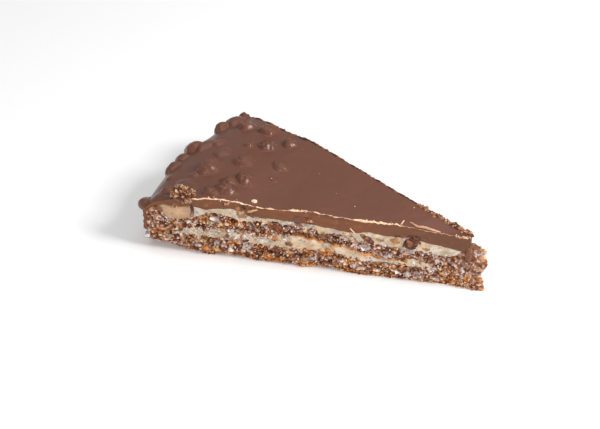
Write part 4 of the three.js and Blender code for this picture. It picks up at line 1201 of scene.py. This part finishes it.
# The drip of chocolate that runs down between the two parts of the upper cream.
DRIP_PATH = [
    (101.9, 22.6, 0.5), (101.3, 21.6, 0.3), (101.0, 20.0, 0.1), (101.1, 18.2, 0.1), (101.4, 16.0, 0.4),
]
drip_share = np.linspace(0, 1, 50)
drip_size = np.interp(drip_share, [0, 0.2, 0.5, 0.9, 1], [0.5, 0.75, 0.85, 0.9, 0.3])
drip_tint = mix(DARK, (0.54, 0.37, 0.27), smooth(drip_share, 0.35, 0.7))
drip_middle = on_cut(*even_path(DRIP_PATH, 50).T)
strip("chocolate_drip", drip_middle, drip_size, drip_size * 0.7, drip_tint, 560, rough=0.3)

# The smear of chocolate dragged down over the tip.
SMEAR_STOPS = [(0.0, (0.36, 0.20, 0.11)), (0.5, (0.43, 0.25, 0.13)), (1.0, (0.52, 0.33, 0.21))]
broken_lump("tip_smear", "milk_chocolate", np.array([1.1, 0.3, 16.1]), np.eye(3),
            (3.4, 4.0, 7.4), SMEAR_STOPS, 0.12, 2.6, 570)

# ------------------------------------------------------------------ scatter the crumbs
rng = np.random.default_rng(7)
CRUMB_SPAN = (-4.0, 117.0)
# Where the golden line stays free of crumbs: along, and up from the upper nut layer's underside.
LINE_ALONG = (22, 63)
LINE_UP = (-1.4, 1.0)
# Boundaries with crumbs: one crumb to how many in a layer, from and to along the slice, spread.
RAGGED_BOUNDARIES = [
    (lower_nut_top, 3, (8.0, 108.0), 0.45),
    (upper_nut_bottom, 3, (64.0, 104.0), 0.35),
    (upper_nut_top, 4, (6.0, 110.0), 0.3),
]


def cut_places(count, side, low, high):
    """Random places on one cut, between two boundaries, half sunk in it."""
    along = rng.uniform(*CRUMB_SPAN, count)
    across = np.full(count, float(side))
    x, y = plan_point(along, across, NUT_NOSE)
    bottom, top = low(along, across), high(along, across)
    share = rng.uniform(0.02, 0.98, count)
    z = bottom + (top - bottom) * share
    y = y + side * rng.uniform(-0.6, 0.15, count)
    places = np.stack([x, y, z], -1)
    return break_edge(places, along, across, share) if low is ground else places


def boundary_places(count, side, span, boundary, spread):
    """Random places close to a boundary between two layers."""
    along = rng.uniform(*span, count)
    across = np.full(count, float(side))
    x, y = plan_point(along, across, NUT_NOSE)
    z = boundary(along, across) + rng.normal(size=count) * spread
    y = y + side * rng.uniform(-0.5, 0.2, count)
    return np.stack([x, y, z], -1)


def sponge_places(count):
    """Places in both crumbly layers and on the boundaries to the creams, off the golden line."""
    places = []
    for side in (-1, 1):
        places.append(cut_places(count, side, ground, lower_nut_top))
        places.append(cut_places(count, side, upper_nut_bottom, upper_nut_top))
        for boundary, part, span, spread in RAGGED_BOUNDARIES:
            places.append(boundary_places(count // part, side, span, boundary, spread))
    places = np.concatenate(places)
    along = np.hypot(places[:, 0], places[:, 1])
    away = places[:, 2] - upper_nut_bottom(along, np.sign(places[:, 1]))
    beside = (along < LINE_ALONG[0]) | (along > LINE_ALONG[1])
    return places[beside | (away < LINE_UP[0]) | (away > LINE_UP[1])]


# Kinds of crumbs: lightness, number for each part of a cut, sizes, and how golden they are.
CRUMB_KINDS = [
    ("sponge_crumbs", 0.45, 190, (0.5, 1.3), 0.0),
    ("pale_crumbs", 0.95, 230, (0.3, 0.9), -0.2),
    ("toasted_bits", 0.5, 50, (0.5, 1.1), 0.8),
    # The dark bits are painted shade: dark crumbs standing for the shaded gaps between crumbs.
    ("painted_shade_bits", 0.1, 50, (0.4, 0.9), 0.3),
]
for name, tone, count, (small, large), gold in CRUMB_KINDS:
    places = sponge_places(count)
    sizes = small + (large - small) * rng.random(len(places)) ** 2
    places[:, 2] = np.maximum(places[:, 2], sizes * 0.5)
    light = np.clip(tone + 0.16 * rng.normal(size=len(places)), 0, 1)
    crumbs(name, "nut_sponge", places, sizes, crumb_colours(places, light, gold))

# Crumbs on the rounded top and side of the nose, where the filling has broken off.
NOSE_COUNT = 170
NOSE_TOP_COUNT = 70
on_top = np.arange(NOSE_COUNT) < NOSE_TOP_COUNT
nose_along = -NUT_NOSE["reach"] + 5.2 * rng.random(NOSE_COUNT) ** 1.6
nose_x, nose_y = plan_point(nose_along, rng.uniform(-1, 1, NOSE_COUNT), NUT_NOSE)
nose_x = nose_x - np.where(on_top, 0, 0.9)
nose_z = np.where(on_top, rng.uniform(16.2, 17.0, NOSE_COUNT), rng.uniform(6.0, 16.5, NOSE_COUNT))
nose_places = np.stack([nose_x, nose_y, nose_z], -1)
nose_light = np.clip(0.66 + 0.22 * rng.normal(size=NOSE_COUNT), 0, 1)
nose_colours = crumb_colours(nose_places, nose_light, -0.2) * np.array([0.87, 0.89, 0.87])
crumbs("nose_crumbs", "nut_sponge", nose_places, rng.uniform(0.5, 1.5, NOSE_COUNT), nose_colours)

# Pale flakes of chocolate along the front top edge, thickest where the burr is thick.
FLAKE_COUNT = 340
TIP_FLAKE_COUNT = 40
flake_over = rng.uniform(23, 101, FLAKE_COUNT)
flake_over = flake_over[rng.random(FLAKE_COUNT) < np.interp(flake_over, *zip(*BURR)) * 2 - 0.25]
flake_over = np.concatenate([flake_over, rng.uniform(-1.4, 4, TIP_FLAKE_COUNT)])
flake_places = edge_point(flake_over, -1) + rng.normal(size=(len(flake_over), 3)) * np.array([0.15, 0.2, 0.2])
flake_sizes = rng.uniform(0.25, 0.6, len(flake_over))
crumbs("chocolate_flakes", "milk_chocolate", flake_places, flake_sizes, CHOCOLATE_PALE)

# Broken chocolate on the back top edge near the tip.
CHIP_COUNT = 340
chip_over = rng.uniform(-1.4, 24, CHIP_COUNT)
chip_places = edge_point(chip_over, 1, -0.1) + rng.normal(size=(CHIP_COUNT, 3)) * np.array([0.35, 0.5, 0.2])
chip_tints = mix((0.50, 0.31, 0.21), (0.84, 0.64, 0.48), rng.random(CHIP_COUNT) ** 1.3)
crumbs("chocolate_chips", "milk_chocolate", chip_places, rng.uniform(0.35, 1.1, CHIP_COUNT), chip_tints)

# The pale crumb behind the front edge.
PALE_STOPS = [(0.0, (0.86, 0.74, 0.62)), (1.0, (0.98, 0.93, 0.86))]
broken_lump("pale_top_crumb", "milk_chocolate", np.array([-75.3, -21.1, TOP + 0.55]), np.eye(3),
            (2.2, 1.7, 1.2), PALE_STOPS, 0.15, 1.0, 575)

# A few specks on the top: distance over the top, turn in degrees and size.
SPECKS = [(42.75, -7.0, 0.5), (24.0, 11.5, 0.55), (19.75, 15.5, 0.6), (77.5, -4.0, 0.45), (64.0, 6.0, 0.3),
          (52.0, -2.0, 0.3)]
speck_over, speck_turn, speck_sizes = np.array(SPECKS).T
speck_places = coat_skin(speck_over, speck_turn / HALF_DEGREES) + UPWARD * 0.05
crumbs("top_specks", "milk_chocolate", speck_places, speck_sizes, (0.82, 0.68, 0.58), flat=0.8)

# ------------------------------------------------------------------ floor, light and camera
# A plain floor, 6 m square.
floor_mesh = bpy.data.meshes.new("floor")
floor_mesh.from_pydata([(-3, -3, 0), (3, -3, 0), (3, 3, 0), (-3, 3, 0)], [], [(0, 1, 2, 3)])
floor_mesh.materials.append(finish_of("floor_paper", 0.9, colour=(0.95, 0.95, 0.95)))
floor = add_object("floor", floor_mesh)


def aim(thing, place, direction):
    """Puts a light or camera at a place, in metres, and turns it to look along a direction."""
    thing.location = place
    thing.rotation_mode = "QUATERNION"
    thing.rotation_quaternion = Vector(direction).to_track_quat("-Z", "Y")


# Square soft lights: place and the point they light, in metres, side and watts.
LIGHTS = [
    ("key_light", (0.50, 0.09, 0.44), (0, 0, 0.01), 0.26, 4.5),
    ("front_light", (0.1, -0.75, 0.4), (0, 0, 0.01), 0.5, 3.35),
    ("top_light", (-0.2, 0.5, 1.3), (0, 0.1, 0.01), 1.2, 4.3),
]
for name, place, target, side, power in LIGHTS:
    light = bpy.data.lights.new(name, "AREA")
    light.shape = "SQUARE"
    light.size = side
    light.energy = power
    aim(add_object(name, light), place, Vector(target) - Vector(place))

world = bpy.data.worlds.new("studio")
world.use_nodes = True
sky = world.node_tree.nodes["Background"]
sky.inputs["Color"].default_value = (1.0, 1.0, 1.0, 1.0)
sky.inputs["Strength"].default_value = 0.4
bpy.context.scene.world = world
bpy.context.scene.view_settings.view_transform = "Standard"

# The camera's place, in millimetres from the tip, and the direction that it looks in.
CAMERA_PLACE = np.array([182.0, -441.0, 376.9])
CAMERA_VIEW = (-0.39926, 0.70363, -0.58779)
camera_data = bpy.data.cameras.new("camera")
camera_data.lens = 100.0
camera_data.sensor_width = 36.0
camera_data.sensor_fit = "HORIZONTAL"
camera_data.clip_start = 0.01
camera_data.clip_end = 20.0
camera = add_object("camera", camera_data)
aim(camera, (CAMERA_PLACE + TIP) * MM, CAMERA_VIEW)
bpy.context.scene.camera = camera
